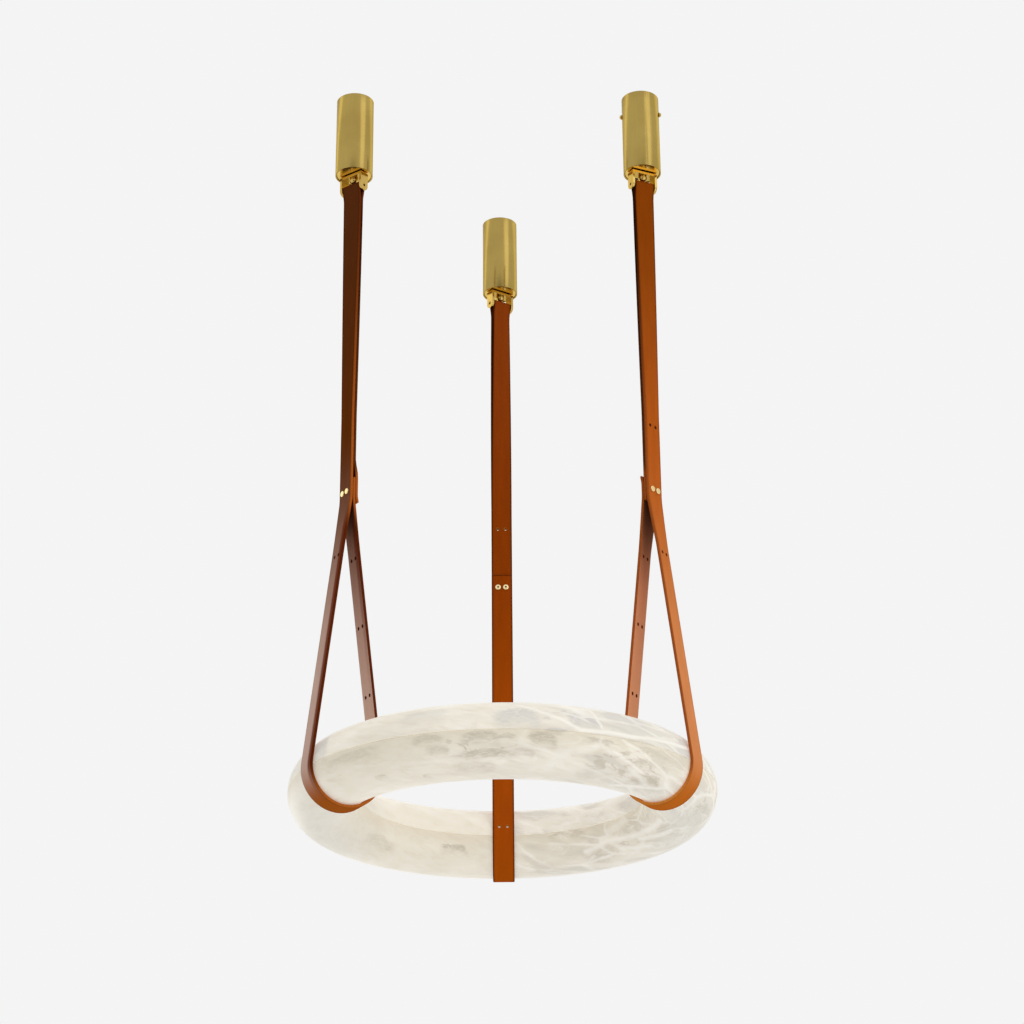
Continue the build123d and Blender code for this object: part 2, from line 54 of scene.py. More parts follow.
def colour(red, green, blue):
    """A colour given as a screen's 0 to 255 values."""
    made = []
    for value in (red, green, blue):
        part = value / 255
        made.append(part / 12.92 if part <= 0.04045 else ((part + 0.055) / 1.055) ** 2.4)
    return (*made, 1.0)


# How far each hanger's clevis and its strap's junction are turned from the strap's lower end
CLEVIS_TURN = {"rear": 34.0, "left": 24.0, "right": -35.0}
JUNCTION_TURN = {"rear": 0.0, "left": 4.0, "right": -11.0}

# Camera, found from the ring's outline and the canopies in the photograph
CAMERA_PLACE = (0.0166, -3.322, -2.061)
CAMERA_PITCH = 23.35
CAMERA_ROLL = -0.48
CAMERA_LENS = 86.6

# Leather band
STRAP_WIDTH = 0.032
LEATHER = 0.004
EDGE_ROUND = 0.0014
LAYER_GAP = 0.0002
SPLIT_BELOW = 0.012
TAIL_BELOW = 0.018
END_ABOVE = 0.020
END_FLARE = 0.002
STRAP_BEND = 0.040
TAIL_INSIDE = {"rear": False, "left": True, "right": False}
TAIL_JOG = 0.020
TAIL_CLEAR = 0.005
LOOP_NECK = 0.020
TWIST_MARGIN = 0.010
LEG_TWIST = 0.075
UNPUNCHED_COUNT = {"rear": 1, "left": 0, "right": 0}
PUNCHED_ABOVE = {"rear": True, "left": False, "right": True}
HOLE_PITCH = 0.100
HOLE_SPACING = 0.012
HOLE_DIAMETER = 0.004
POST_HOLE = 0.0052
HOLE_RIM = 0.0007
HOLE_DISH = 0.0004
SLING_OUTER_GAP = 0.0004
SLING_INNER_GAP = 0.0013
SLING_BOTTOM_GAP = 0.0013

# Fineness of the leather's mesh, with the cells beside a hole's middle and on the rounded edge
FINE_STEP = 0.002
FINE_TURN = radians(2)
ROW_STEP = 0.008
ROW_TURN = radians(6)
LEAST_BEND = 1e-6
COLUMN_STEP = 0.002
HOLE_CELLS = 2
EDGE_CELLS = 2

# Order of the leather's finishes on a strap
GRAIN, FLESH, EDGE, HOLE = range(4)

# Softened edges of the brass
METAL_ROUND = 0.0004
ROUND_STEPS = 2
WELD_REACH = 0.00002
SHARP_ANGLE = radians(40)

# A noise is given by its scale, detail, roughness and distortion, where they aren't the usual ones.
# A fade is given by the values it runs between and the shares it gives there, if not 0 and 1.
# A bump is given by its strength and its depth.
NOISE_MEAN = 0.5
MIDDLE = (0.3, 0.7)
WIDE = (0.2, 0.8)
BLACK = colour(0, 0, 0)

# Places of a mix node's colours among its sockets
MIX_FIRST = 6
MIX_SECOND = 7
MIX_RESULT = 2

# Metals and moulded pieces: light tone, dark tone and roughness
BRASSES = {
    "brass_satin": ((180, 155, 86), (168, 143, 77), 0.22),
    "brass_polished": ((208, 175, 98), (192, 160, 86), 0.18),
    "brass_gold": ((236, 202, 118), (220, 184, 102), 0.18),
    # The posts' and screws' pale brass is partly a painted highlight.
    "brass_bright": ((250, 230, 178), (234, 208, 150), 0.12),
}
METALS = {
    "steel": ((172, 174, 178), (146, 148, 153), 0.38),
    "aluminium": ((228, 229, 231), (206, 208, 210), 0.40),
}
MOULDINGS = {
    "circuit": ((246, 246, 243), (236, 236, 232), 0.45),
    "led": ((250, 226, 150), (244, 210, 120), 0.30),
    "white_plastic": ((243, 243, 240), (230, 230, 226), 0.45),
    "bushing": ((48, 46, 44), (34, 32, 30), 0.60),
}

# Brass: nodes with a finish of their own, its tone at grazing angles, its painted shade in corners, and
# its patterns
BRASS_SLOTS = ("brass_satin", "brass_polished")
SPECIAL_FINISH = {"posts": "brass_bright", "post_screws": "brass_bright", "bottom_disc": "brass_gold"}
BRASS_RIM = colour(244, 230, 190)
BRASS_CORNER_SHADE = colour(84, 60, 18)
CORNER_REACH = 0.003
CORNER_FADE = (0.35, 0.85)
BRASS_GRAIN_STRETCH = (90, 90, 3)
BRASS_GRAIN = {"scale": 4.0, "detail": 2.0}
BRASS_GRAIN_FADE = (*MIDDLE, 0.0, 0.3)
BRASS_CLOUD = {"scale": 18.0, "detail": 3.0}
BRASS_ROUGH_FADE = (0.25, 0.75)
BRASS_SPREAD = (0.9, 1.1)

# Other metals, moulded pieces and the gasket: their patterns
METAL_STRETCH = (1, 1, 3)
METAL_CLOUD = {"scale": 60.0}
METAL_SPREAD = (0.8, 1.2)
MOULDED_MOTTLE = {"scale": 220.0}
MOULDED_SPREAD = (0.85, 1.1)
MOULDED_BUMP = (0.15, 0.0002)
GASKET_MOTTLE = {"scale": 60.0}
GASKET_ROUGH = 0.6

# Alabaster: its tones, some of them painted shade, its polish and the light from inside it
STONE_DEEP = colour(229, 222, 206)
STONE_PALE = colour(242, 236, 223)
# The next tone is painted shade on the lower half; the gasket also uses it as a plain colour
STONE_BELOW = colour(209, 199, 177)
STONE_STREAK = colour(213, 204, 186)
STONE_GREY = colour(220, 215, 205)
STONE_SIDE_SHADE = colour(203, 199, 187)
STONE_FLAKE = colour(203, 198, 187)
STONE_CLOUD = colour(186, 177, 160)
STONE_SHADE = colour(196, 193, 188)
STONE_VEIN = colour(246, 242, 233)
STONE_ROUGH = 0.38
STONE_SPECULAR = 0.3
STONE_BUMP = (0.04, 0.001)
STONE_GLOW = 0.40

# Alabaster: how its patterns are squeezed along the ring, round its tube and from half to half
ON_SKIN = (1, 1, 0)
LYING = (1.0, 2.4, 5.0)
SLANTED = (1.0, 3.2, 5.0)
STREAK_TURN = radians(14)

# Alabaster: mottle, slanting streaks and the grey that grows towards the flaky right side
MOTTLE = {"scale": 9.0, "detail": 6.0, "rough": 0.6, "distort": 0.8}
STREAKS = {"scale": 34.0, "detail": 6.0, "rough": 0.65, "distort": 1.0}
STREAK_FADE = (0.40, 0.75, 0.0, 0.60)
FLAKY_FADE = (-0.10, 0.14, 0.12, 1.0)
GREY_SHARE = 0.35

# Alabaster: painted shade that greys the ends and the right side above the seam, and painted shade that
# darkens the lower half towards the seam and the ring's open middle
ENDS_FADE = (0.75, 1.0, 0.0, 0.60)
RIGHT_START_FADE = (0.2, 0.8, 0.0, 0.75)
RIGHT_END_FADE = (1.6, 2.0, 1.0, 0.0)
SEAM_FADE = (-0.75, -0.01, 0.0, 0.60)
INSIDE_FADE = (-0.9, 0.1, 0.26, 0.0)

# Alabaster: wisps and the web of fine veins
WISPS = {"scale": 13.0, "detail": 3.0, "rough": 0.5, "distort": 1.0}
WISP_FADE = (0.44, 0.72, 0.0, 0.75)
WINDING = {"scale": 9.0, "distort": 0.8}
WINDING_FADE = (0.0, 0.030, 0.35, 0.0)
JOINT_SCALE = 8.0
JOINT_FADE = (0.0, 0.060, 0.55, 0.0)
WEB_FADE = (0.35, 0.60)

# Alabaster: clouds, two of them painted shadows of the straps on the ring, given by ring angle, tube
# angle, half length, half height and depth
CLOUDS = [
    (-19, -9, 0.016, 0.006, 0.65), (-16, -27, 0.015, 0.008, 0.50), (-5, -9, 0.024, 0.008, 0.80),
    (-4, -34, 0.030, 0.007, 0.85), (-7, -59, 0.026, 0.010, 0.40), (-42, -12, 0.045, 0.008, 0.40),
    (-34, -55, 0.010, 0.005, 0.60), (-21, -70, 0.005, 0.005, 0.50), (5, -35, 0.014, 0.006, 0.50),
    (11, -11, 0.018, 0.009, 0.90), (14, -2, 0.014, 0.004, 0.80), (26, -9, 0.020, 0.006, 0.85),
    (39, -28, 0.024, 0.009, 0.65), (43, -55, 0.026, 0.011, 0.85), (48, -17, 0.036, 0.015, 0.40),
    (4, 26, 0.026, 0.015, 0.80), (21, 24, 0.022, 0.013, 0.90), (34, 42, 0.032, 0.015, 0.65),
    # The last two clouds on the next line are painted shadows of the left and right straps.
    (-20, 36, 0.030, 0.012, 0.35), (-56, 26, 0.022, 0.020, 0.90), (57, 20, 0.024, 0.018, 0.80),
    (-159, -157, 0.028, -0.009, 0.85), (-123, -140, 0.048, -0.009, 0.40),
    (152, -177, 0.040, -0.004, 0.60), (92, -120, 0.040, -0.013, 0.55), (137, -134, 0.034, -0.015, 0.50),
    (118, -165, 0.034, -0.011, 0.40), (82, -52, 0.035, 0.012, 0.45),
]
CLOUD_BOW = 0.5
CLOUD_TOP_FADE = (0.55, 1.0)
CLOUD_FOOT_FADE = (-1.9, 0.5)
CLOUD_END_FADE = (0.35, 1.2, 1.0, 0.0)
CRUMBS = {"scale": 70.0, "distort": 1.5}
CRUMB_REACH = 1.6
BROKEN_FADE = (0.30, 0.62, 0.45, 1.0)
WHOLE_ABOVE = 0.85

# Alabaster: fields of small flakes, given as the clouds are
FIELDS = [
    (-4, -24, 0.062, 0.024, 0.70), (34, -32, 0.080, 0.030, 0.65), (22, 26, 0.090, 0.020, 0.65),
    (115, -140, 0.150, 0.028, 0.50), (80, -40, 0.060, 0.040, 0.50),
]
FIELD_FADE = (0.5, 1.1)
FLAKES = {"scale": 36.0, "detail": 5.0, "rough": 0.6, "distort": 1.2}
FLAKE_FADE = (0.52, 0.61)

# Alabaster: long pale veins, given by two ends as ring angle and tube angle, and half the width
VEINS = [
    ((4, 50), (20, 4), 0.0042), ((20, 4), (37, 7), 0.0050), ((37, 7), (60, 20), 0.0042),
    ((24, 50), (26, 11), 0.0030), ((30, -22), (40, -44), 0.0040), ((34, -84), (50, -62), 0.0050),
    ((145, -138), (133, -150), 0.0080), ((133, -150), (106, -137), 0.0080),
    ((106, -137), (87, -128), 0.0080), ((129, -131), (114, -112), 0.0070),
    ((116, -134), (92, -106), 0.0070),
]
VEIN_SHARE = 0.6

# Alabaster: the ripple that makes clouds and wisps uneven, and its share in the veins
RIPPLE = {"scale": 22.0, "rough": 0.5, "output": "Color"}
RIPPLE_REACH = (0.030, 0.018, 0.0)
VEIN_RIPPLE = (0.4, 0.4, 0)

# Leather: tones of faces and edges at the clevis, at the junction, on the legs and under the ring, with
# painted light and shade: each strap lit differently, the legs and wraps paler, and a painted pale sheen
# on the left legs
GRAIN_TONES_AND_LIGHT = {
    "rear": ((160, 70, 18), (166, 71, 10), (196, 88, 10), (204, 94, 14)),
    "left": ((110, 57, 26), (122, 60, 16), (224, 178, 154), (196, 104, 34)),
    "right": ((160, 75, 12), (210, 104, 34), (240, 146, 76), (232, 126, 40)),
}
EDGE_TONES_AND_LIGHT = {
    "rear": ((90, 37, 10), (112, 48, 14), (112, 48, 14), (112, 48, 14)),
    "left": ((118, 52, 18), (204, 106, 40), (114, 46, 15), (214, 118, 46)),
    "right": ((64, 26, 8), (186, 96, 40), (186, 96, 40), (240, 152, 66)),
}
# The rear strap's pale gold hole walls are painted light, as from the lit stone through the holes.
HOLE_WALLS_AND_GLOW = {"rear": colour(206, 132, 56), "left": colour(96, 46, 18), "right": colour(128, 64, 24)}
LEATHER_SHADE = colour(48, 22, 8)
LEG_FADE = 0.05

# Leather: painted shade at a leg's front edge, on the layer behind and between the legs, and a painted
# pale sheen
FRONT_EDGE = {"rear": 0.0, "left": 0.0, "right": 1.0}
FRONT_DARK = {"rear": 0.0, "left": 0.90, "right": 0.0}
FRONT_SHADE_TONE = colour(130, 52, 18)
FRONT_FADE = (0.20, 0.40)
TAIL_DARK = 0.75
TAIL_START = 0.9
SPLIT_DARK = 0.80
SPLIT_REACH = {"rear": 0.07, "left": 0.07, "right": 0.16}
FLESH_SHEEN_TONE = colour(255, 226, 208)
FLESH_SHEEN_SHARE = {"rear": 0.0, "left": 0.0, "right": 0.18}

# Leather: its patterns on the flat band, their effect on tone and roughness, and the waxed sheen
BAND_SCALE = 2.0
BAND_MIDDLE = 0.5
GRAIN_CLOUDS = {"stretch": (1.6, 0.25, 1)}
GRAIN_CLOUD_FADE = (0.25, 0.75, 0.35, 0.0)
GRAIN_DEEP = 0.35
GRAIN_RIM_FADE = (0.36, 0.47)
GRAIN_ROUGH = (*WIDE, 0.36, 0.48)
GRAIN_BUMP = (0.15, 0.0004)
PORES = {"stretch": (26, 26, 1), "detail": 3.0, "rough": 0.7}
PORE_FADE = (0.35, 0.75, 0.0, 0.20)
NAP = {"stretch": (60, 12, 1), "rough": 0.75}
NAP_FADE = (*MIDDLE, 0.20, 0.0)
NAP_ROUGH = (*WIDE, 0.46, 0.60)
NAP_BUMP = (0.25, 0.0004)
EDGE_FIBRE = {"stretch": (90, 6, 1)}
EDGE_FADE = (*MIDDLE, 0.25, 0.0)
EDGE_ROUGH = 0.45
EDGE_BUMP = (0.2, 0.0004)
WALL_FIBRE = {"stretch": (40, 40, 1), "detail": 3.0}
WALL_FADE = (*MIDDLE, 0.4, 0.0)
WALL_ROUGH = (*WIDE, 0.6, 0.8)
SHEEN = {"rear": 0.04, "left": 0.85, "right": 0.30}
SHEEN_ROUGH = 0.42

# Surroundings
FLOOR_Z = -2.6
FLOOR_SIZE = 30.0
FLOOR_TONES = (colour(240, 240, 240), colour(244, 244, 244))
FLOOR_CLOUD = {"scale": 0.6, "detail": 2.0}
FLOOR_ROUGH = 0.9
FLOOR_LIFT = 0.42
BACKDROP = 0.905
LIGHT_LEVEL = 0.64
LIGHT_LEAN = 0.25
LIGHT_FROM = (0.80, -0.60, 0.0)
DARK_SIDE = (0.0, -0.90, -0.44)
DARK_REACH = 0.80
DARK_DEPTH = 0.75

# Lamps: degrees from the front towards the right, degrees of rise, distance, width, height and radiance
LAMPS = {
    "key": (50, -14, 1.9, 0.9, 0.9, 1.0),
    "band_right": (47, 34, 4.0, 1.7, 4.0, 0.70),
    "band_left": (-115, 34, 4.0, 1.2, 4.0, 0.6),
    "edge_right": (125, 34, 4.0, 1.6, 4.0, 0.4),
    "panel_left": (-140, -6, 3.0, 1.8, 1.1, 1.0),
}
LAMPS_FACE = (0.0, 0.0, -0.75)


def middle(node):
    """The middle of a CAD node's box."""
    low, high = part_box(node)
    return (low + high) / 2


# Places and sizes that follow from the frame and from the sizes above
RING_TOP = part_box("shell_upper")[1].z
RING_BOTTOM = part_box("shell_lower")[0].z
TUBE_RADIUS = (RING_TOP - RING_BOTTOM) / 2
RING_Z = (RING_TOP + RING_BOTTOM) / 2
RING_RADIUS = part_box("shell_lower")[1].x - TUBE_RADIUS
PIN_LOW, PIN_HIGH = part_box("clevis_pin_rear")
PIN_RADIUS = (PIN_HIGH.z - PIN_LOW.z) / 2
PIN_Z = middle("clevis_pin_rear").z
JUNCTION_Z = middle("posts_rear").z
SPLIT_Z = JUNCTION_Z - SPLIT_BELOW
LAYER_PITCH = LEATHER + LAYER_GAP
LAYER_OFFSET = LAYER_PITCH / 2
LOOP_RADIUS = PIN_RADIUS + LAYER_GAP + LEATHER / 2
TAIL_LENGTH = PIN_Z - JUNCTION_Z + TAIL_BELOW
TWIST_TOP = PIN_Z - LOOP_NECK - TWIST_MARGIN
TWIST_BOTTOM = JUNCTION_Z + HOLE_PITCH + 2 * TWIST_MARGIN
SLING_RADIUS = TUBE_RADIUS + (SLING_INNER_GAP + SLING_OUTER_GAP) / 2 + LEATHER / 2
SLING_Y = -(SLING_INNER_GAP - SLING_OUTER_GAP) / 2
SLING_Z = RING_Z - SLING_BOTTOM_GAP + (SLING_INNER_GAP + SLING_OUTER_GAP) / 2
HALF_ROUND = EDGE_ROUND * (1 - sqrt(0.5))
HOLE_BLOCK = HOLE_CELLS * COLUMN_STEP
BEND_PROBE = FINE_STEP / 4


# Leather straps: one flat band with punched holes, bent along its path

def heading(start, end):
    """The direction from one point of the side view to another."""
    return atan2(end[1] - start[1], end[0] - start[0])


def turn_between(first, second):
    """The smaller turn from one heading to another."""
    return (second - first + pi) % (2 * pi) - pi


def tangent_point(point, centre, radius, side):
    """Where a straight run from a point touches a circle, to the left of it (1) or right (-1)."""
    reach = hypot(centre[0] - point[0], centre[1] - point[1])
    way = heading(point, centre) + side * asin(radius / reach)
    run = sqrt(reach**2 - radius**2)
    return (point[0] + run * cos(way), point[1] + run * sin(way))


def add_line(path, end):
    """Carry a path straight on to a point; a path is a list of outward place, height, heading."""
    y, z, before = path[-1]
    way = before + turn_between(before, heading((y, z), end))
    steps = ceil(hypot(end[0] - y, end[1] - z) / FINE_STEP)
    for i in range(1, steps + 1):
        part = i / steps
        path.append((y + part * (end[0] - y), z + part * (end[1] - z), way))


def add_arc(path, radius, turn):
    """Carry a path round by an angle, to the right where the angle is negative."""
    y, z, way = path[-1]
    side = 1 if turn > 0 else -1
    centre_y = y - side * radius * sin(way)
    centre_z = z + side * radius * cos(way)
    steps = ceil(abs(turn) / FINE_TURN)
    for i in range(1, steps + 1):
        now = way + turn * i / steps
        path.append((centre_y + side * radius * sin(now), centre_z - side * radius * cos(now), now))


def add_corner(path, corner, after):
    """Carry a path to a corner and round it towards the next point."""
    into = heading(path[-1], corner)
    turn = turn_between(into, heading(corner, after))
    cut = STRAP_BEND * tan(abs(turn) / 2)
    add_line(path, (corner[0] - cut * cos(into), corner[1] - cut * sin(into)))
    add_arc(path, STRAP_BEND, turn)


def add_wheel(path, centre, radius, after):
    """Carry a path to a circle, round it to the right and off towards the next point."""
    touch_in = tangent_point(path[-1], centre, radius, 1)
    touch_out = tangent_point(after, centre, radius, -1)
    add_line(path, touch_in)
    turn = (heading(touch_out, after) - path[-1][2]) % (2 * pi) - 2 * pi
    add_arc(path, radius, turn)


def inner_layers(name):
    """How far out the tail and the inner leg lie at the junction, one behind the other."""
    middle_layer = -LAYER_OFFSET
    inside = -LAYER_OFFSET - LAYER_PITCH
    return (inside, middle_layer) if TAIL_INSIDE[name] else (middle_layer, inside)


def tail_points(name):
    """The tail's end and the corners up to its straight run; an inside tail flares and jogs."""
    place, _ = inner_layers(name)
    end = JUNCTION_Z - TAIL_BELOW
    if not TAIL_INSIDE[name]:
        return [(place, end)]
    jog = JUNCTION_Z + END_ABOVE + TAIL_CLEAR
    flare = [(place - END_FLARE, end), (place, JUNCTION_Z - TAIL_BELOW / 2)]
    return flare + [(place, jog), (-LAYER_OFFSET, jog + TAIL_JOG)]


def leg_points(name):
    """The corners of the inner leg from the split to its end, flared if it is the innermost layer."""
    _, place = inner_layers(name)
    end = JUNCTION_Z + END_ABOVE
    if TAIL_INSIDE[name]:
        return [(place, SPLIT_Z), (place, end)]
    return [(place, SPLIT_Z), (place, JUNCTION_Z + END_ABOVE / 2), (place - END_FLARE, end)]


def band_path(name):
    """The middle of the leather in the strap's side view, from the tail to the inner leg's end."""
    pin = (0.0, PIN_Z)
    sling = (SLING_Y, SLING_Z)
    inner_neck = (-LAYER_OFFSET, PIN_Z - LOOP_NECK)
    outer_neck = (LAYER_OFFSET, PIN_Z - LOOP_NECK)
    outer_top = (LAYER_OFFSET, SPLIT_Z)
    start, *corners = tail_points(name)
    rise = [*corners, inner_neck, tangent_point(inner_neck, pin, LOOP_RADIUS, 1)]
    path = [(*start, heading(start, rise[0]))]
    for corner, after in zip(rise, rise[1:]):
        add_corner(path, corner, after)
    add_wheel(path, pin, LOOP_RADIUS, outer_neck)
    add_corner(path, outer_neck, outer_top)
    add_corner(path, outer_top, tangent_point(outer_top, sling, SLING_RADIUS, 1))
    leg = leg_points(name)
    add_wheel(path, sling, SLING_RADIUS, leg[0])
    for corner, after in zip(leg, leg[1:]):
        add_corner(path, corner, after)
    add_line(path, leg[-1])
    return path


def lengths_along(path):
    """The length of leather from the tail to each point of the path."""
    lengths = [0.0]
    for here, after in zip(path, path[1:]):
        lengths.append(lengths[-1] + hypot(after[0] - here[0], after[1] - here[1]))
    return lengths


def at_length(path, lengths, place):
    """Outward place, height and heading of the path at a length from the tail."""
    i = min(max(bisect_right(lengths, place) - 1, 0), len(path) - 2)
    part = (place - lengths[i]) / (lengths[i + 1] - lengths[i])
    return [a + part * (b - a) for a, b in zip(path[i], path[i + 1])]


def crossings(path, lengths, height):
    """The lengths at which the path passes a height."""
    found = []
    for i, (here, after) in enumerate(zip(path, path[1:])):
        if (here[1] - height) * (after[1] - height) <= 0 and here[1] != after[1]:
            part = (height - here[1]) / (after[1] - here[1])
            found.append(lengths[i] + part * (lengths[i + 1] - lengths[i]))
    return found


def hole_places(name, path, lengths):
    """The punched pairs as length from the tail and hole diameter."""
    posts = crossings(path, lengths, JUNCTION_Z)
    pairs = [(place, POST_HOLE) for place in posts]
    if PUNCHED_ABOVE[name]:
        above = crossings(path, lengths, JUNCTION_Z + HOLE_PITCH)
        pairs += [(place, HOLE_DIAMETER) for place in above]
    _, outer, inner = posts
    pairs.append((outer + HOLE_PITCH, HOLE_DIAMETER))
    count = int((JUNCTION_Z - RING_Z) // HOLE_PITCH)
    for i in range(1 + UNPUNCHED_COUNT[name], count + 1):
        pairs.append((inner - i * HOLE_PITCH, HOLE_DIAMETER))
    return sorted(pairs)


def bend_rate(path, lengths, place):
    """How fast the path turns at a length from the tail."""
    turn = at_length(path, lengths, place + BEND_PROBE)[2] - at_length(path, lengths, place)[2]
    return abs(turn) / BEND_PROBE


def row_places(path, lengths, pairs):
    """Where the band has a row of vertices: close in tight bends, at holes and at the eased ends."""
    whole = lengths[-1]
    rows = []
    place = EDGE_ROUND
    while place < whole - EDGE_ROUND:
        rows.append(place)
        place += min(ROW_STEP, ROW_TURN / max(bend_rate(path, lengths, place), LEAST_BEND))
    for hole, _ in pairs:
        rows = [row for row in rows if abs(row - hole) > HOLE_BLOCK + COLUMN_STEP / 2]
        rows += [hole + i * COLUMN_STEP for i in range(-HOLE_CELLS, HOLE_CELLS + 1)]
    rows += [0.0, HALF_ROUND, whole - EDGE_ROUND, whole - HALF_ROUND, whole]
    return sorted(rows)


def column_places():
    """Where the band has a column of vertices across its width."""
    half = STRAP_WIDTH / 2
    block_edge = HOLE_SPACING / 2 + HOLE_BLOCK
    count = round(block_edge / COLUMN_STEP)
    right = [i * COLUMN_STEP for i in range(1, count + 1)]
    right += [(block_edge + half - EDGE_ROUND) / 2, half - EDGE_ROUND, half - HALF_ROUND, half]
    return [-x for x in reversed(right)] + [0.0] + right


def eased_half(distance):
    """Half the leather's thickness at a distance from its edge."""
    short = EDGE_ROUND - min(distance, EDGE_ROUND)
    return LEATHER / 2 - EDGE_ROUND + sqrt(max(EDGE_ROUND**2 - short**2, 0.0))


def twist_at(name, height):
    """How far the band is turned at a height, from the legs' feet up to the clevis."""
    stops = [
        (SPLIT_Z - LEG_TWIST, 0.0),
        (SPLIT_Z, JUNCTION_TURN[name]),
        (TWIST_BOTTOM, JUNCTION_TURN[name]),
        (TWIST_TOP, CLEVIS_TURN[name]),
    ]
    turn = 0.0
    for (low, first), (high, second) in zip(stops, stops[1:]):
        part = min(max((height - low) / (high - low), 0.0), 1.0)
        turn += part * (second - first)
    return radians(turn)


class Band:
    """A strap's mesh while it is made: flat places bent along the path, with where they lay flat."""

    def __init__(self, name):
        self.name = name
        self.path = band_path(name)
        self.lengths = lengths_along(self.path)
        stem = middle("stem_" + name)
        turn = Matrix.Rotation(atan2(stem.y, stem.x) - pi / 2, 4, "Z")
        self.place = Matrix.Translation((stem.x, stem.y, 0)) @ turn
        self.mesh = bmesh.new()
        self.flat = {}

    def vertex(self, length, across, off):
        """Add the vertex that lies so far along, across and off the flat band."""
        y, z, way = at_length(self.path, self.lengths, length)
        point = Vector((across, y - off * sin(way), z + off * cos(way)))
        bent = self.place @ Matrix.Rotation(twist_at(self.name, z), 4, "Z") @ point
        made = self.mesh.verts.new(bent)
        self.flat[made] = (across, length)
        return made

    def face(self, corners, finish):
        """Add a face with one of the leather's finishes."""
        self.mesh.faces.new(corners).material_index = finish


def band_grid(band, rows, columns):
    """The vertices of the band's two faces, row by row."""
    half = STRAP_WIDTH / 2
    whole = band.lengths[-1]
    grid = {1: [], -1: []}
    for side in grid:
        for row in rows:
            line = []
            for across in columns:
                edge = min(half - abs(across), row, whole - row)
                line.append(band.vertex(row, across, side * eased_half(edge)))
            grid[side].append(line)
    return grid


def block_rim():
    """The rows and columns round the block of cells that a hole replaces."""
    side = [(-HOLE_CELLS, j) for j in range(-HOLE_CELLS, HOLE_CELLS)]
    side += [(i, HOLE_CELLS) for i in range(-HOLE_CELLS, HOLE_CELLS)]
    return side + [(-i, -j) for i, j in side]


def hole_ring(band, hole, across, radius, off):
    """Vertices on a circle round a hole, in step with the rim of its block."""
    made = []
    for i, j in block_rim():
        reach = hypot(i, j)
        made.append(band.vertex(hole + radius * i / reach, across + radius * j / reach, off))
    return made


def punch(band, grid, row, column, hole, across, diameter):
    """Fill a block of cells with a dished hole through the leather."""
    rings = {}
    for side in grid:
        rings[side] = [
            [grid[side][row + i][column + j] for i, j in block_rim()],
            hole_ring(band, hole, across, diameter / 2 + HOLE_RIM, side * LEATHER / 2),
            hole_ring(band, hole, across, diameter / 2, side * (LEATHER / 2 - HOLE_DISH)),
        ]
    through = rings[1] + rings[-1][::-1]
    count = len(block_rim())
    finishes = (GRAIN, HOLE, HOLE, HOLE, FLESH)
    for first, second, finish in zip(through, through[1:], finishes):
        for k in range(count):
            after = (k + 1) % count
            band.face((first[k], first[after], second[after], second[k]), finish)


def punch_pairs(band, grid, rows, columns, pairs):
    """Punch every pair of holes; gives the cells that they replace."""
    punched = set()
    cells = range(-HOLE_CELLS, HOLE_CELLS)
    for hole, diameter in pairs:
        row = min(range(len(rows)), key=lambda i: abs(rows[i] - hole))
        for across in (-HOLE_SPACING / 2, HOLE_SPACING / 2):
            column = min(range(len(columns)), key=lambda j: abs(columns[j] - across))
            punched |= {(row + i, column + j) for i in cells for j in cells}
            punch(band, grid, row, column, hole, across, diameter)
    return punched


def add_sides(band, grid, punched):
    """The grain side and the flesh side of the band, with the edge's finish on their rounded rims."""
    last_row = len(grid[1]) - 1
    last_column = len(grid[1][0]) - 1
    for side, finish in ((1, GRAIN), (-1, FLESH)):
        for i in range(last_row):
            for j in range(last_column):
                if (i, j) in punched:
                    continue
                from_edge = min(i, j, last_row - 1 - i, last_column - 1 - j)
                corners = [grid[side][i + a][j + b] for a, b in ((0, 0), (0, 1), (1, 1), (1, 0))]
                band.face(corners, EDGE if from_edge < EDGE_CELLS else finish)


def add_edges(band, grid):
    """The cut edges that join the band's two sides."""
    last_row = len(grid[1]) - 1
    last_column = len(grid[1][0]) - 1
    for i in range(last_row):
        for j in (0, last_column):
            band.face((grid[1][i][j], grid[1][i + 1][j], grid[-1][i + 1][j], grid[-1][i][j]), EDGE)
    for j in range(last_column):
        for i in (0, last_row):
            band.face((grid[1][i][j], grid[1][i][j + 1], grid[-1][i][j + 1], grid[-1][i][j]), EDGE)


def finish_faces(band):
    """Turn the faces outwards, smooth them and note where they lay on the flat band, in widths."""
    bmesh.ops.recalc_face_normals(band.mesh, faces=band.mesh.faces)
    layer = band.mesh.loops.layers.uv.new("flat")
    for face in band.mesh.faces:
        face.smooth = True
        for loop in face.loops:
            across, length = band.flat[loop.vert]
            loop[layer].uv = (across / STRAP_WIDTH + BAND_MIDDLE, length / STRAP_WIDTH)


def strap_mesh(name):
    """The mesh of one leather band."""
    band = Band(name)
    pairs = hole_places(name, band.path, band.lengths)
    rows = row_places(band.path, band.lengths, pairs)
    columns = column_places()
    grid = band_grid(band, rows, columns)
    punched = punch_pairs(band, grid, rows, columns, pairs)
    add_sides(band, grid, punched)
    add_edges(band, grid)
    finish_faces(band)
    mesh = bpy.data.meshes.new("leather_" + name)
    band.mesh.to_mesh(mesh)
    band.mesh.free()
    return mesh


def put(name, data):
    """Put a mesh, a lamp or a camera in the scene."""
    made = bpy.data.objects.new(name, data)
    bpy.context.scene.collection.objects.link(made)
    return made


def add_piece(name, mesh, materials):
    """Put a mesh in the scene with its materials."""
    for material in materials:
        mesh.materials.append(material)
    return put(name, mesh)


# Material helpers

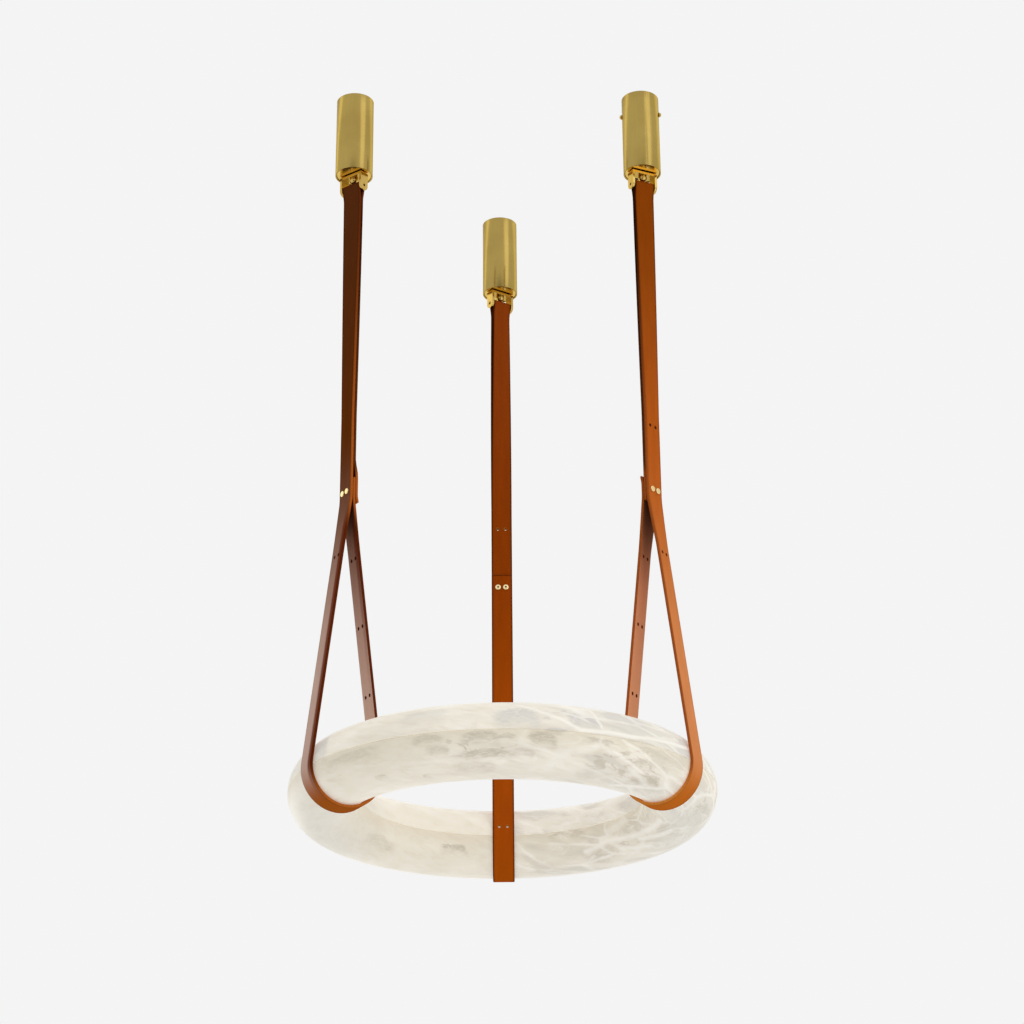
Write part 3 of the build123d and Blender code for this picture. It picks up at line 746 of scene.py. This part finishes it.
class NodeTree:
    """Short ways to add nodes to a node tree."""

    def __init__(self, tree):
        self.nodes = tree.nodes
        self.links = tree.links

    def node(self, kind, inputs=None, **settings):
        """A new node with its settings and its input values or links."""
        made = self.nodes.new(kind)
        for key, value in settings.items():
            setattr(made, key, value)
        for key, value in (inputs or {}).items():
            self.feed(made.inputs[key], value)
        return made

    def feed(self, socket, value):
        """Set a socket to a constant or link it to another node's output."""
        if isinstance(value, bpy.types.NodeSocket):
            self.links.new(value, socket)
        else:
            socket.default_value = value

    def math(self, kind, *values, **settings):
        """One step of arithmetic."""
        made = self.node("ShaderNodeMath", dict(enumerate(values)), operation=kind, **settings)
        return made.outputs["Value"]

    def times(self, first, second):
        """One value times another."""
        return self.math("MULTIPLY", first, second)

    def highest(self, found, *others):
        """The highest of some values."""
        for value in others:
            found = self.math("MAXIMUM", found, value)
        return found

    def fade(self, value, low, high, to_low=0.0, to_high=1.0):
        """A smooth step from one value to another."""
        inputs = {"Value": value, "From Min": low, "From Max": high}
        inputs |= {"To Min": to_low, "To Max": to_high}
        made = self.node("ShaderNodeMapRange", inputs, interpolation_type="SMOOTHSTEP")
        return made.outputs["Result"]

    def vector(self, kind, *values, output="Vector"):
        """One step of arithmetic with vectors."""
        made = self.node("ShaderNodeVectorMath", dict(enumerate(values)), operation=kind)
        return made.outputs[output]

    def dot(self, first, second):
        """How far two vectors point the same way."""
        return self.vector("DOT_PRODUCT", first, second, output="Value")

    def length(self, vector):
        """How long a vector is."""
        return self.vector("LENGTH", vector, output="Value")

    def scaled(self, vector, share):
        """A vector made longer or shorter."""
        made = self.node("ShaderNodeVectorMath", {0: vector, "Scale": share}, operation="SCALE")
        return made.outputs["Vector"]

    def parts(self, vector):
        """A vector's parts X, Y and Z."""
        return self.node("ShaderNodeSeparateXYZ", {"Vector": vector}).outputs

    def join(self, **parts):
        """A vector from its parts X, Y and Z."""
        return self.node("ShaderNodeCombineXYZ", parts).outputs["Vector"]


class Look(NodeTree):
    """A node material under way, with its surface shader."""

    def __init__(self, name):
        self.material = bpy.data.materials.new(name)
        self.material.use_nodes = True
        super().__init__(self.material.node_tree)
        self.surface = self.nodes["Principled BSDF"]

    def set(self, **values):
        """Feed the surface shader's sockets by name, with _ for a space."""
        for key, value in values.items():
            self.feed(self.surface.inputs[key.replace("_", " ")], value)

    def point(self):
        """Where a point lies on the object."""
        return self.node("ShaderNodeTexCoord").outputs["Object"]

    def band_point(self):
        """Where a point lay on the flat band, across and along it, in widths."""
        return self.node("ShaderNodeUVMap", uv_map="flat").outputs["UV"]

    def mapped(self, source, scale=(1, 1, 1), turn=(0, 0, 0)):
        """Coordinates stretched and turned."""
        inputs = {"Vector": source, "Scale": scale, "Rotation": turn}
        return self.node("ShaderNodeMapping", inputs).outputs["Vector"]

    def noise(self, place, scale, detail=4.0, rough=0.55, distort=0.0, output="Fac"):
        """Cloudy noise between 0 and 1."""
        inputs = {"Vector": place, "Scale": scale, "Detail": detail}
        inputs |= {"Roughness": rough, "Distortion": distort}
        return self.node("ShaderNodeTexNoise", inputs).outputs[output]

    def band_noise(self, stretch, **settings):
        """Cloudy noise on the flat band, fine across or along it."""
        return self.noise(self.mapped(self.band_point(), scale=stretch), BAND_SCALE, **settings)

    def mix(self, part, first, second):
        """A colour between two colours."""
        inputs = {"Factor": part, MIX_FIRST: first, MIX_SECOND: second}
        return self.node("ShaderNodeMix", inputs, data_type="RGBA").outputs[MIX_RESULT]

    def bump(self, height, strength, distance):
        """Feed fine relief to the surface."""
        inputs = {"Height": height, "Strength": strength, "Distance": distance}
        self.set(Normal=self.node("ShaderNodeBump", inputs).outputs["Normal"])


# Alabaster

def ring_place(look):
    """A point's place on the ring's skin: metres round the ring, round its tube, and its half."""
    axis = look.parts(look.point())
    around = look.math("ARCTAN2", axis["X"], look.times(axis["Y"], -1.0))
    radius = look.length(look.join(X=axis["X"], Y=axis["Y"]))
    rise = look.math("SUBTRACT", axis["Z"], RING_Z)
    tube = look.math("ARCTAN2", rise, look.math("SUBTRACT", radius, RING_RADIUS))
    return look.join(
        X=look.times(around, RING_RADIUS),
        Y=look.times(tube, TUBE_RADIUS),
        Z=look.math("GREATER_THAN", rise, 0.0),
    )


def on_skin(around, tube):
    """Such a place from a ring angle, right of the front, and a tube angle, up from outside."""
    return (radians(around) * RING_RADIUS, radians(tube) * TUBE_RADIUS, 0.0)


def cloud_mask(look, place, crumbs):
    """How deep each point lies in one of the stone's clouds or painted strap shadows: bowed, crisp above
    and fading below.
    """
    spots = []
    for around, tube, long, high, depth in CLOUDS:
        away = look.vector("SUBTRACT", place, on_skin(around, tube))
        inside = look.parts(look.vector("MULTIPLY", away, (1 / long, 1 / high, 0)))
        bow = look.times(inside["X"], inside["X"])
        bowed = look.math("ADD", look.times(bow, CLOUD_BOW), inside["Y"])
        under = look.math("ADD", bowed, crumbs)
        crisp = look.fade(under, *CLOUD_TOP_FADE, depth, 0.0)
        spot = look.times(crisp, look.fade(under, *CLOUD_FOOT_FADE))
        spots.append(look.times(spot, look.fade(bow, *CLOUD_END_FADE)))
    return look.highest(*spots)


def field_mask(look, place):
    """How far each point lies inside one of the fields of small flakes."""
    fields = []
    for around, tube, long, high, depth in FIELDS:
        away = look.vector("SUBTRACT", place, on_skin(around, tube))
        reach = look.length(look.vector("MULTIPLY", away, (1 / long, 1 / high, 0)))
        fields.append(look.fade(reach, *FIELD_FADE, depth, 0.0))
    return look.highest(*fields)


def vein_mask(look, flat, shift):
    """How much each point shows of a long pale vein."""
    place = look.vector("ADD", flat, look.vector("MULTIPLY", shift, VEIN_RIPPLE))
    lines = []
    for first, second, width in VEINS:
        start = Vector(on_skin(*first))
        run = Vector(on_skin(*second)) - start
        away = look.vector("SUBTRACT", place, start)
        along = look.dot(away, run / run.length_squared)
        part = look.node("ShaderNodeClamp", {"Value": along}).outputs["Result"]
        reach = look.length(look.vector("SUBTRACT", away, look.scaled(run, part)))
        lines.append(look.fade(reach, 0.0, width, 1.0, 0.0))
    return look.times(look.highest(*lines), VEIN_SHARE)


def stone_ripple(look, place):
    """An uneven shift along the stone's skin."""
    ripple = look.vector("SUBTRACT", look.noise(place, **RIPPLE), [NOISE_MEAN] * 3)
    return look.vector("MULTIPLY", ripple, RIPPLE_REACH)


def stone_wisps(look, place):
    """Grey wisps, and a web of fine pale veins, some winding and some straight."""
    wisps = look.fade(look.noise(place, **WISPS), *WISP_FADE)
    ridge = look.math("ABSOLUTE", look.math("SUBTRACT", look.noise(place, **WINDING), NOISE_MEAN))
    inputs = {"Vector": place, "Scale": JOINT_SCALE}
    joints = look.node("ShaderNodeTexVoronoi", inputs, feature="DISTANCE_TO_EDGE").outputs["Distance"]
    web = look.highest(look.fade(ridge, *WINDING_FADE), look.fade(joints, *JOINT_FADE))
    return wisps, web


def painted_side_shade(look, skin):
    """How much painted shade greys the stone at the ring's two ends, and above the seam from front to
    right.
    """
    around = look.math("DIVIDE", skin["X"], RING_RADIUS)
    sideways = look.math("ABSOLUTE", look.math("SINE", around))
    right = look.times(look.fade(around, *RIGHT_START_FADE), look.fade(around, *RIGHT_END_FADE))
    above = look.times(right, skin["Z"])
    return look.highest(look.fade(sideways, *ENDS_FADE), above)


def painted_stone_shade(look, skin):
    """How much painted shade darkens the lower half towards the seam and towards the ring's open middle.
    """
    angle = look.math("DIVIDE", skin["Y"], TUBE_RADIUS)
    height = look.fade(look.math("SINE", angle), *SEAM_FADE)
    inside = look.fade(look.math("COSINE", angle), *INSIDE_FADE)
    lower = look.math("SUBTRACT", 1.0, skin["Z"])
    return look.times(look.highest(height, inside), lower)


def stone_clouds(look, skin, lying, flat, shift):
    """How deep each point lies in a cloud or a painted strap shadow, crumbled in the lower half, or in a
    small flake.
    """
    fine = look.noise(lying, **CRUMBS)
    crumbs = look.times(look.math("SUBTRACT", fine, NOISE_MEAN), CRUMB_REACH)
    whole = look.times(skin["Z"], WHOLE_ABOVE)
    broken = look.highest(look.fade(fine, *BROKEN_FADE), whole)
    clouds = look.times(cloud_mask(look, look.vector("ADD", flat, shift), crumbs), broken)
    flakes = look.fade(look.noise(lying, **FLAKES), *FLAKE_FADE)
    return look.highest(clouds, look.times(flakes, field_mask(look, flat)))


def alabaster():
    """Polished pale stone, smooth to the left and flaky to the right, with some light from inside it,
    and painted shade at its ends, below the seam and beside the straps.
    """
    look = Look("alabaster")
    place = ring_place(look)
    skin = look.parts(place)
    flat = look.vector("MULTIPLY", place, ON_SKIN)
    lying = look.vector("MULTIPLY", place, LYING)
    slanted = look.vector("MULTIPLY", look.mapped(place, turn=(0, 0, STREAK_TURN)), SLANTED)
    shift = stone_ripple(look, lying)
    mottle = look.noise(lying, **MOTTLE)
    streaks = look.noise(slanted, **STREAKS)
    flaky = look.fade(skin["X"], *FLAKY_FADE)
    wisps, web = stone_wisps(look, look.vector("ADD", slanted, shift))
    tone = look.mix(look.fade(mottle, *MIDDLE), STONE_DEEP, STONE_PALE)
    tone = look.mix(look.fade(streaks, *STREAK_FADE), tone, STONE_STREAK)
    tone = look.mix(look.times(flaky, GREY_SHARE), tone, STONE_GREY)
    # Painted shade greys the ring's ends and its right side above the seam.
    tone = look.mix(painted_side_shade(look, skin), tone, STONE_SIDE_SHADE)
    tone = look.mix(look.times(wisps, flaky), tone, STONE_FLAKE)
    # Painted shade darkens the lower half towards the seam and the ring's open middle.
    tone = look.mix(painted_stone_shade(look, skin), tone, STONE_BELOW)
    # Clouds tone the stone, and two of them are the straps' painted shadows on it.
    clouds = stone_clouds(look, skin, lying, flat, shift)
    tone = look.mix(clouds, tone, look.mix(skin["Z"], STONE_CLOUD, STONE_SHADE))
    web = look.times(web, look.times(flaky, look.fade(mottle, *WEB_FADE)))
    tone = look.mix(look.highest(vein_mask(look, flat, shift), web), tone, STONE_VEIN)
    look.set(Base_Color=tone, Roughness=STONE_ROUGH, Specular_IOR_Level=STONE_SPECULAR)
    look.set(Emission_Color=tone, Emission_Strength=STONE_GLOW)
    look.bump(streaks, *STONE_BUMP)
    return look.material


# Leather

def height_part(look, low, high):
    """How far up a point lies between two heights, from 0 to 1."""
    return look.fade(look.parts(look.point())["Z"], low, high)


def beside_ring(look, low, high):
    """A share that is 1 beside the ring and fades out under it and between two heights above it."""
    below = look.math("SUBTRACT", 1.0, height_part(look, low, high))
    return look.times(below, height_part(look, RING_BOTTOM, RING_Z))


def across_from(look, place):
    """How far across the flat band a point lies from a place, in widths."""
    across = look.parts(look.band_point())["X"]
    return look.math("ABSOLUTE", look.math("SUBTRACT", across, place))


def front_painted_shade(look, name):
    """How much painted shade a leg's face gets towards the strap's front edge."""
    dark = look.fade(across_from(look, FRONT_EDGE[name]), *FRONT_FADE, FRONT_DARK[name], 0.0)
    return look.times(dark, beside_ring(look, SPLIT_Z - LEG_FADE, SPLIT_Z))


def tone_and_light_by_height(look, tones, low, high):
    """A tone with painted light and shade for each height; that of the legs gives way to the junction's
    between two heights.
    """
    top, junction, legs, under = [colour(*tone) for tone in tones]
    tone = look.mix(height_part(look, JUNCTION_Z, TWIST_TOP), junction, top)
    tone = look.mix(height_part(look, low, high), legs, tone)
    return look.mix(height_part(look, RING_BOTTOM, RING_Z), under, tone)


def leather_tone_and_light(look, name):
    """The leather's colour with each strap's painted light and shade at each height."""
    return tone_and_light_by_height(look, GRAIN_TONES_AND_LIGHT[name], RING_Z + 2 * TUBE_RADIUS, JUNCTION_Z + HOLE_PITCH)


def leather_sheen(look, name, shade):
    """A waxed sheen on the legs beside the ring, where they aren't under the painted front shade."""
    plain = look.math("SUBTRACT", SHEEN[name], look.times(shade, SHEEN[name]))
    weight = look.times(beside_ring(look, RING_TOP, JUNCTION_Z), plain)
    look.set(Coat_Weight=weight, Coat_Roughness=SHEEN_ROUGH)


def leather_grain(name):
    """The smooth side of saddle leather, darker at its burnished edges, with painted shade at the front
    edge.
    """
    look = Look("leather_grain_" + name)
    clouds = look.band_noise(**GRAIN_CLOUDS)
    pores = look.band_noise(**PORES)
    shade = front_painted_shade(look, name)
    tone = look.mix(shade, leather_tone_and_light(look, name), FRONT_SHADE_TONE)
    deep = look.mix(GRAIN_DEEP, tone, BLACK)
    tone = look.mix(look.fade(clouds, *GRAIN_CLOUD_FADE), tone, deep)
    tone = look.mix(look.fade(pores, *PORE_FADE), tone, deep)
    tone = look.mix(look.fade(across_from(look, BAND_MIDDLE), *GRAIN_RIM_FADE), tone, deep)
    look.set(Base_Color=tone, Roughness=look.fade(pores, *GRAIN_ROUGH), Specular_IOR_Level=0.0)
    leather_sheen(look, name, shade)
    look.bump(pores, *GRAIN_BUMP)
    return look.material


def leather_flesh(name):
    """The inner side of the leather, with a short nap, painted shade where the legs lie close and at the
    front edge, and a painted sheen on the right legs.
    """
    look = Look("leather_flesh_" + name)
    nap = look.band_noise(**NAP)
    shade = look.times(front_painted_shade(look, name), height_part(look, RING_TOP, SPLIT_Z))
    # A painted pale sheen on the right strap's inner legs.
    tone = look.mix(FLESH_SHEEN_SHARE[name], leather_tone_and_light(look, name), FLESH_SHEEN_TONE)
    tone = look.mix(shade, tone, FRONT_SHADE_TONE)
    # Painted shade between the legs below the split.
    close = height_part(look, SPLIT_Z - SPLIT_REACH[name], SPLIT_Z)
    tone = look.mix(look.times(close, SPLIT_DARK), tone, LEATHER_SHADE)
    tone = look.mix(look.fade(nap, *NAP_FADE), tone, BLACK)
    look.set(Base_Color=tone, Roughness=look.fade(nap, *NAP_ROUGH), Specular_IOR_Level=0.0)
    leather_sheen(look, name, shade)
    look.bump(nap, *NAP_BUMP)
    return look.material


def leather_edge(name):
    """The burnished cut edge of the leather, with painted light and shade by height, and painted shade
    on the layer behind.
    """
    look = Look("leather_edge_" + name)
    fibre = look.band_noise(**EDGE_FIBRE)
    along = look.parts(look.band_point())["Y"]
    tail_end = TAIL_LENGTH / STRAP_WIDTH
    tail = look.fade(along, TAIL_START * tail_end, tail_end, 1.0, 0.0)
    free_end = JUNCTION_Z + END_ABOVE
    behind = look.times(tail, height_part(look, free_end, free_end + TAIL_JOG))
    tone = tone_and_light_by_height(look, EDGE_TONES_AND_LIGHT[name], SPLIT_Z - LEG_FADE, SPLIT_Z)
    # Painted shade on the edge of the layer behind.
    tone = look.mix(look.times(behind, TAIL_DARK), tone, LEATHER_SHADE)
    tone = look.mix(look.fade(fibre, *EDGE_FADE), tone, BLACK)
    look.set(Base_Color=tone, Roughness=EDGE_ROUGH, Specular_IOR_Level=0.0)
    look.bump(fibre, *EDGE_BUMP)
    return look.material


def leather_hole(name):
    """The rough wall of a punched hole, painted pale gold on the rear strap as light from the stone."""
    look = Look("leather_hole_" + name)
    fibre = look.band_noise(**WALL_FIBRE)
    look.set(Base_Color=look.mix(look.fade(fibre, *WALL_FADE), HOLE_WALLS_AND_GLOW[name], BLACK))
    look.set(Roughness=look.fade(fibre, *WALL_ROUGH), Specular_IOR_Level=0.0)
    return look.material


# Metals, moulded pieces and the gasket

def spread(rough, shares):
    """The lowest and the highest roughness round a middle one."""
    return [rough * share for share in shares]


def brass(name, light, dark, rough):
    """Brass with a faint upright grain, soft clouds of tone and painted shade in corners and sockets."""
    look = Look(name)
    grain = look.noise(look.mapped(look.point(), scale=BRASS_GRAIN_STRETCH), **BRASS_GRAIN)
    cloud = look.noise(look.point(), **BRASS_CLOUD)
    inputs = {"Distance": CORNER_REACH}
    open_share = look.node("ShaderNodeAmbientOcclusion", inputs, only_local=True).outputs["AO"]
    tone = look.mix(look.fade(cloud, *MIDDLE), dark, light)
    tone = look.mix(look.fade(grain, *BRASS_GRAIN_FADE), tone, dark)
    look.set(Base_Color=look.mix(look.fade(open_share, *CORNER_FADE), BRASS_CORNER_SHADE, tone), Metallic=1.0)
    look.set(Roughness=look.fade(cloud, *BRASS_ROUGH_FADE, *spread(rough, BRASS_SPREAD)))
    look.set(Specular_Tint=BRASS_RIM)
    return look.material


def plain_metal(name, light, dark, rough):
    """Zinc-plated steel or mill-finish aluminium."""
    look = Look(name)
    cloud = look.noise(look.mapped(look.point(), scale=METAL_STRETCH), **METAL_CLOUD)
    look.set(Base_Color=look.mix(look.fade(cloud, *MIDDLE), dark, light), Metallic=1.0)
    look.set(Roughness=look.fade(cloud, *WIDE, *spread(rough, METAL_SPREAD)))
    return look.material


def moulded(name, light, dark, rough):
    """Moulded plastic, rubber or resin with a faint mottle."""
    look = Look(name)
    mottle = look.noise(look.point(), **MOULDED_MOTTLE)
    look.set(Base_Color=look.mix(look.fade(mottle, *MIDDLE), dark, light))
    look.set(Roughness=look.fade(mottle, *WIDE, *spread(rough, MOULDED_SPREAD)))
    look.bump(mottle, *MOULDED_BUMP)
    return look.material


def gasket():
    """The thin bonding layer between the shells, which lets light through as the stone does."""
    look = Look("sealant")
    mottle = look.noise(look.point(), **GASKET_MOTTLE)
    tone = look.mix(look.fade(mottle, *MIDDLE), STONE_CLOUD, STONE_BELOW)
    look.set(Base_Color=tone, Roughness=GASKET_ROUGH)
    look.set(Emission_Color=tone, Emission_Strength=STONE_GLOW)
    return look.material


# Dressing the object

def node_materials():
    """A material for each slot but leather, and two more brasses."""
    made = {"alabaster": alabaster(), "sealant": gasket()}
    for finish, tones in ((brass, BRASSES), (plain_metal, METALS), (moulded, MOULDINGS)):
        for name, (light, dark, rough) in tones.items():
            made[name] = finish(name, colour(*light), colour(*dark), rough)
    return made


def soften_edges(node):
    """Round a node's sharp edges a little, so that they catch the light."""
    joined = node.modifiers.new("joined", "WELD")
    joined.merge_threshold = WELD_REACH
    rounded = node.modifiers.new("rounded", "BEVEL")
    rounded.width = METAL_ROUND
    rounded.segments = ROUND_STEPS
    rounded.limit_method = "ANGLE"
    rounded.angle_limit = SHARP_ANGLE
    rounded.harden_normals = True


def dress_nodes():
    """Give every CAD node but the straps its material, and soften the brass."""
    materials = node_materials()
    for part in frame["record"]["subparts"]:
        slot = part["material_slot"]
        if slot == "leather":
            continue
        node = frame["nodes"][part["node"]]
        kind = part["node"].rsplit("_", 1)[0]
        node.data.materials.clear()
        node.data.materials.append(materials[SPECIAL_FINISH.get(kind, slot)])
        if slot in BRASS_SLOTS:
            soften_edges(node)


def dress_straps():
    """Replace each CAD strap by a leather band on the same path."""
    for name in GRAIN_TONES_AND_LIGHT:
        finishes = [leather_grain(name), leather_flesh(name), leather_edge(name), leather_hole(name)]
        piece = add_piece("leather_strap_" + name, strap_mesh(name), finishes)
        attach(piece, "hanger_" + name)
        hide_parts("strap_" + name)


# Surroundings

def floor_material():
    """A plain pale sheet, lifted towards the backdrop's tone and clear from below."""
    look = Look("floor")
    cloud = look.noise(look.point(), **FLOOR_CLOUD)
    tone = look.mix(cloud, *FLOOR_TONES)
    seen = look.node("ShaderNodeLightPath").outputs["Is Camera Ray"]
    look.set(Base_Color=tone, Roughness=FLOOR_ROUGH)
    look.set(Emission_Color=tone, Emission_Strength=look.times(seen, FLOOR_LIFT))
    below = look.node("ShaderNodeNewGeometry").outputs["Backfacing"]
    clear = look.node("ShaderNodeBsdfTransparent").outputs["BSDF"]
    sides = look.node("ShaderNodeMixShader", {"Fac": below, 1: look.surface.outputs["BSDF"], 2: clear})
    look.feed(look.nodes["Material Output"].inputs["Surface"], sides.outputs["Shader"])
    return look.material


def floor():
    """A floor under the light that reflections don't show."""
    mesh = bpy.data.meshes.new("floor")
    half = FLOOR_SIZE / 2
    corners = [(x * half, y * half, FLOOR_Z) for x, y in ((-1, -1), (1, -1), (1, 1), (-1, 1))]
    mesh.from_pydata(corners, [], [(0, 1, 2, 3)])
    sheet = add_piece("floor", mesh, [floor_material()])
    sheet.visible_glossy = False


def surroundings():
    """A pale backdrop, dark towards the front in reflections, and soft light from the right."""
    world = bpy.data.worlds.new("studio")
    bpy.context.scene.world = world
    world.use_nodes = True
    tree = NodeTree(world.node_tree)
    direction = tree.node("ShaderNodeTexCoord").outputs["Generated"]
    rays = tree.node("ShaderNodeLightPath").outputs
    lean = tree.dot(direction, LIGHT_FROM)
    level = tree.math("MULTIPLY_ADD", lean, LIGHT_LEAN, LIGHT_LEVEL, use_clamp=True)
    ambient = tree.node("ShaderNodeBackground", {"Strength": level})
    dark = tree.fade(tree.dot(direction, DARK_SIDE), DARK_REACH, 1.0, 0.0, DARK_DEPTH)
    mirrored = tree.times(dark, rays["Is Glossy Ray"])
    backdrop = tree.nodes["Background"]
    tree.feed(backdrop.inputs["Color"], (BACKDROP, BACKDROP, BACKDROP, 1))
    tree.feed(backdrop.inputs["Strength"], tree.math("SUBTRACT", 1.0, mirrored))
    shown = tree.highest(rays["Is Camera Ray"], rays["Is Glossy Ray"], rays["Is Transmission Ray"])
    inputs = {"Fac": shown, 1: ambient.outputs["Background"], 2: backdrop.outputs["Background"]}
    choose = tree.node("ShaderNodeMixShader", inputs)
    tree.feed(tree.nodes["World Output"].inputs["Surface"], choose.outputs["Shader"])


def softbox(name, bearing, rise, distance, width, height, radiance):
    """A large soft lamp that faces the middle of the object."""
    lamp = bpy.data.lights.new(name, "AREA")
    lamp.shape = "RECTANGLE"
    lamp.size = width
    lamp.size_y = height
    lamp.energy = radiance * pi * width * height
    holder = put(name, lamp)
    flat = distance * cos(radians(rise))
    right = flat * sin(radians(bearing))
    forward = flat * cos(radians(bearing))
    away = Vector((right, -forward, distance * sin(radians(rise))))
    holder.location = Vector(LAMPS_FACE) + away
    holder.rotation_euler = (-away).to_track_quat("-Z", "Y").to_euler()


def lamps():
    """A low key from the right, three panels that draw bands on the brass and one behind the left."""
    for name, settings in LAMPS.items():
        softbox(name, *settings)


def camera():
    """A camera at the photograph's angle, looking up from below."""
    data = bpy.data.cameras.new("camera")
    data.lens = CAMERA_LENS
    holder = put("camera", data)
    pitch = Matrix.Rotation(pi / 2 + radians(CAMERA_PITCH), 4, "X")
    roll = Matrix.Rotation(radians(CAMERA_ROLL), 4, "Z")
    holder.matrix_world = Matrix.Translation(CAMERA_PLACE) @ pitch @ roll
    bpy.context.scene.camera = holder


dress_nodes()
dress_straps()
floor()
surroundings()
lamps()
camera()
bpy.context.scene.view_settings.view_transform = "Standard"
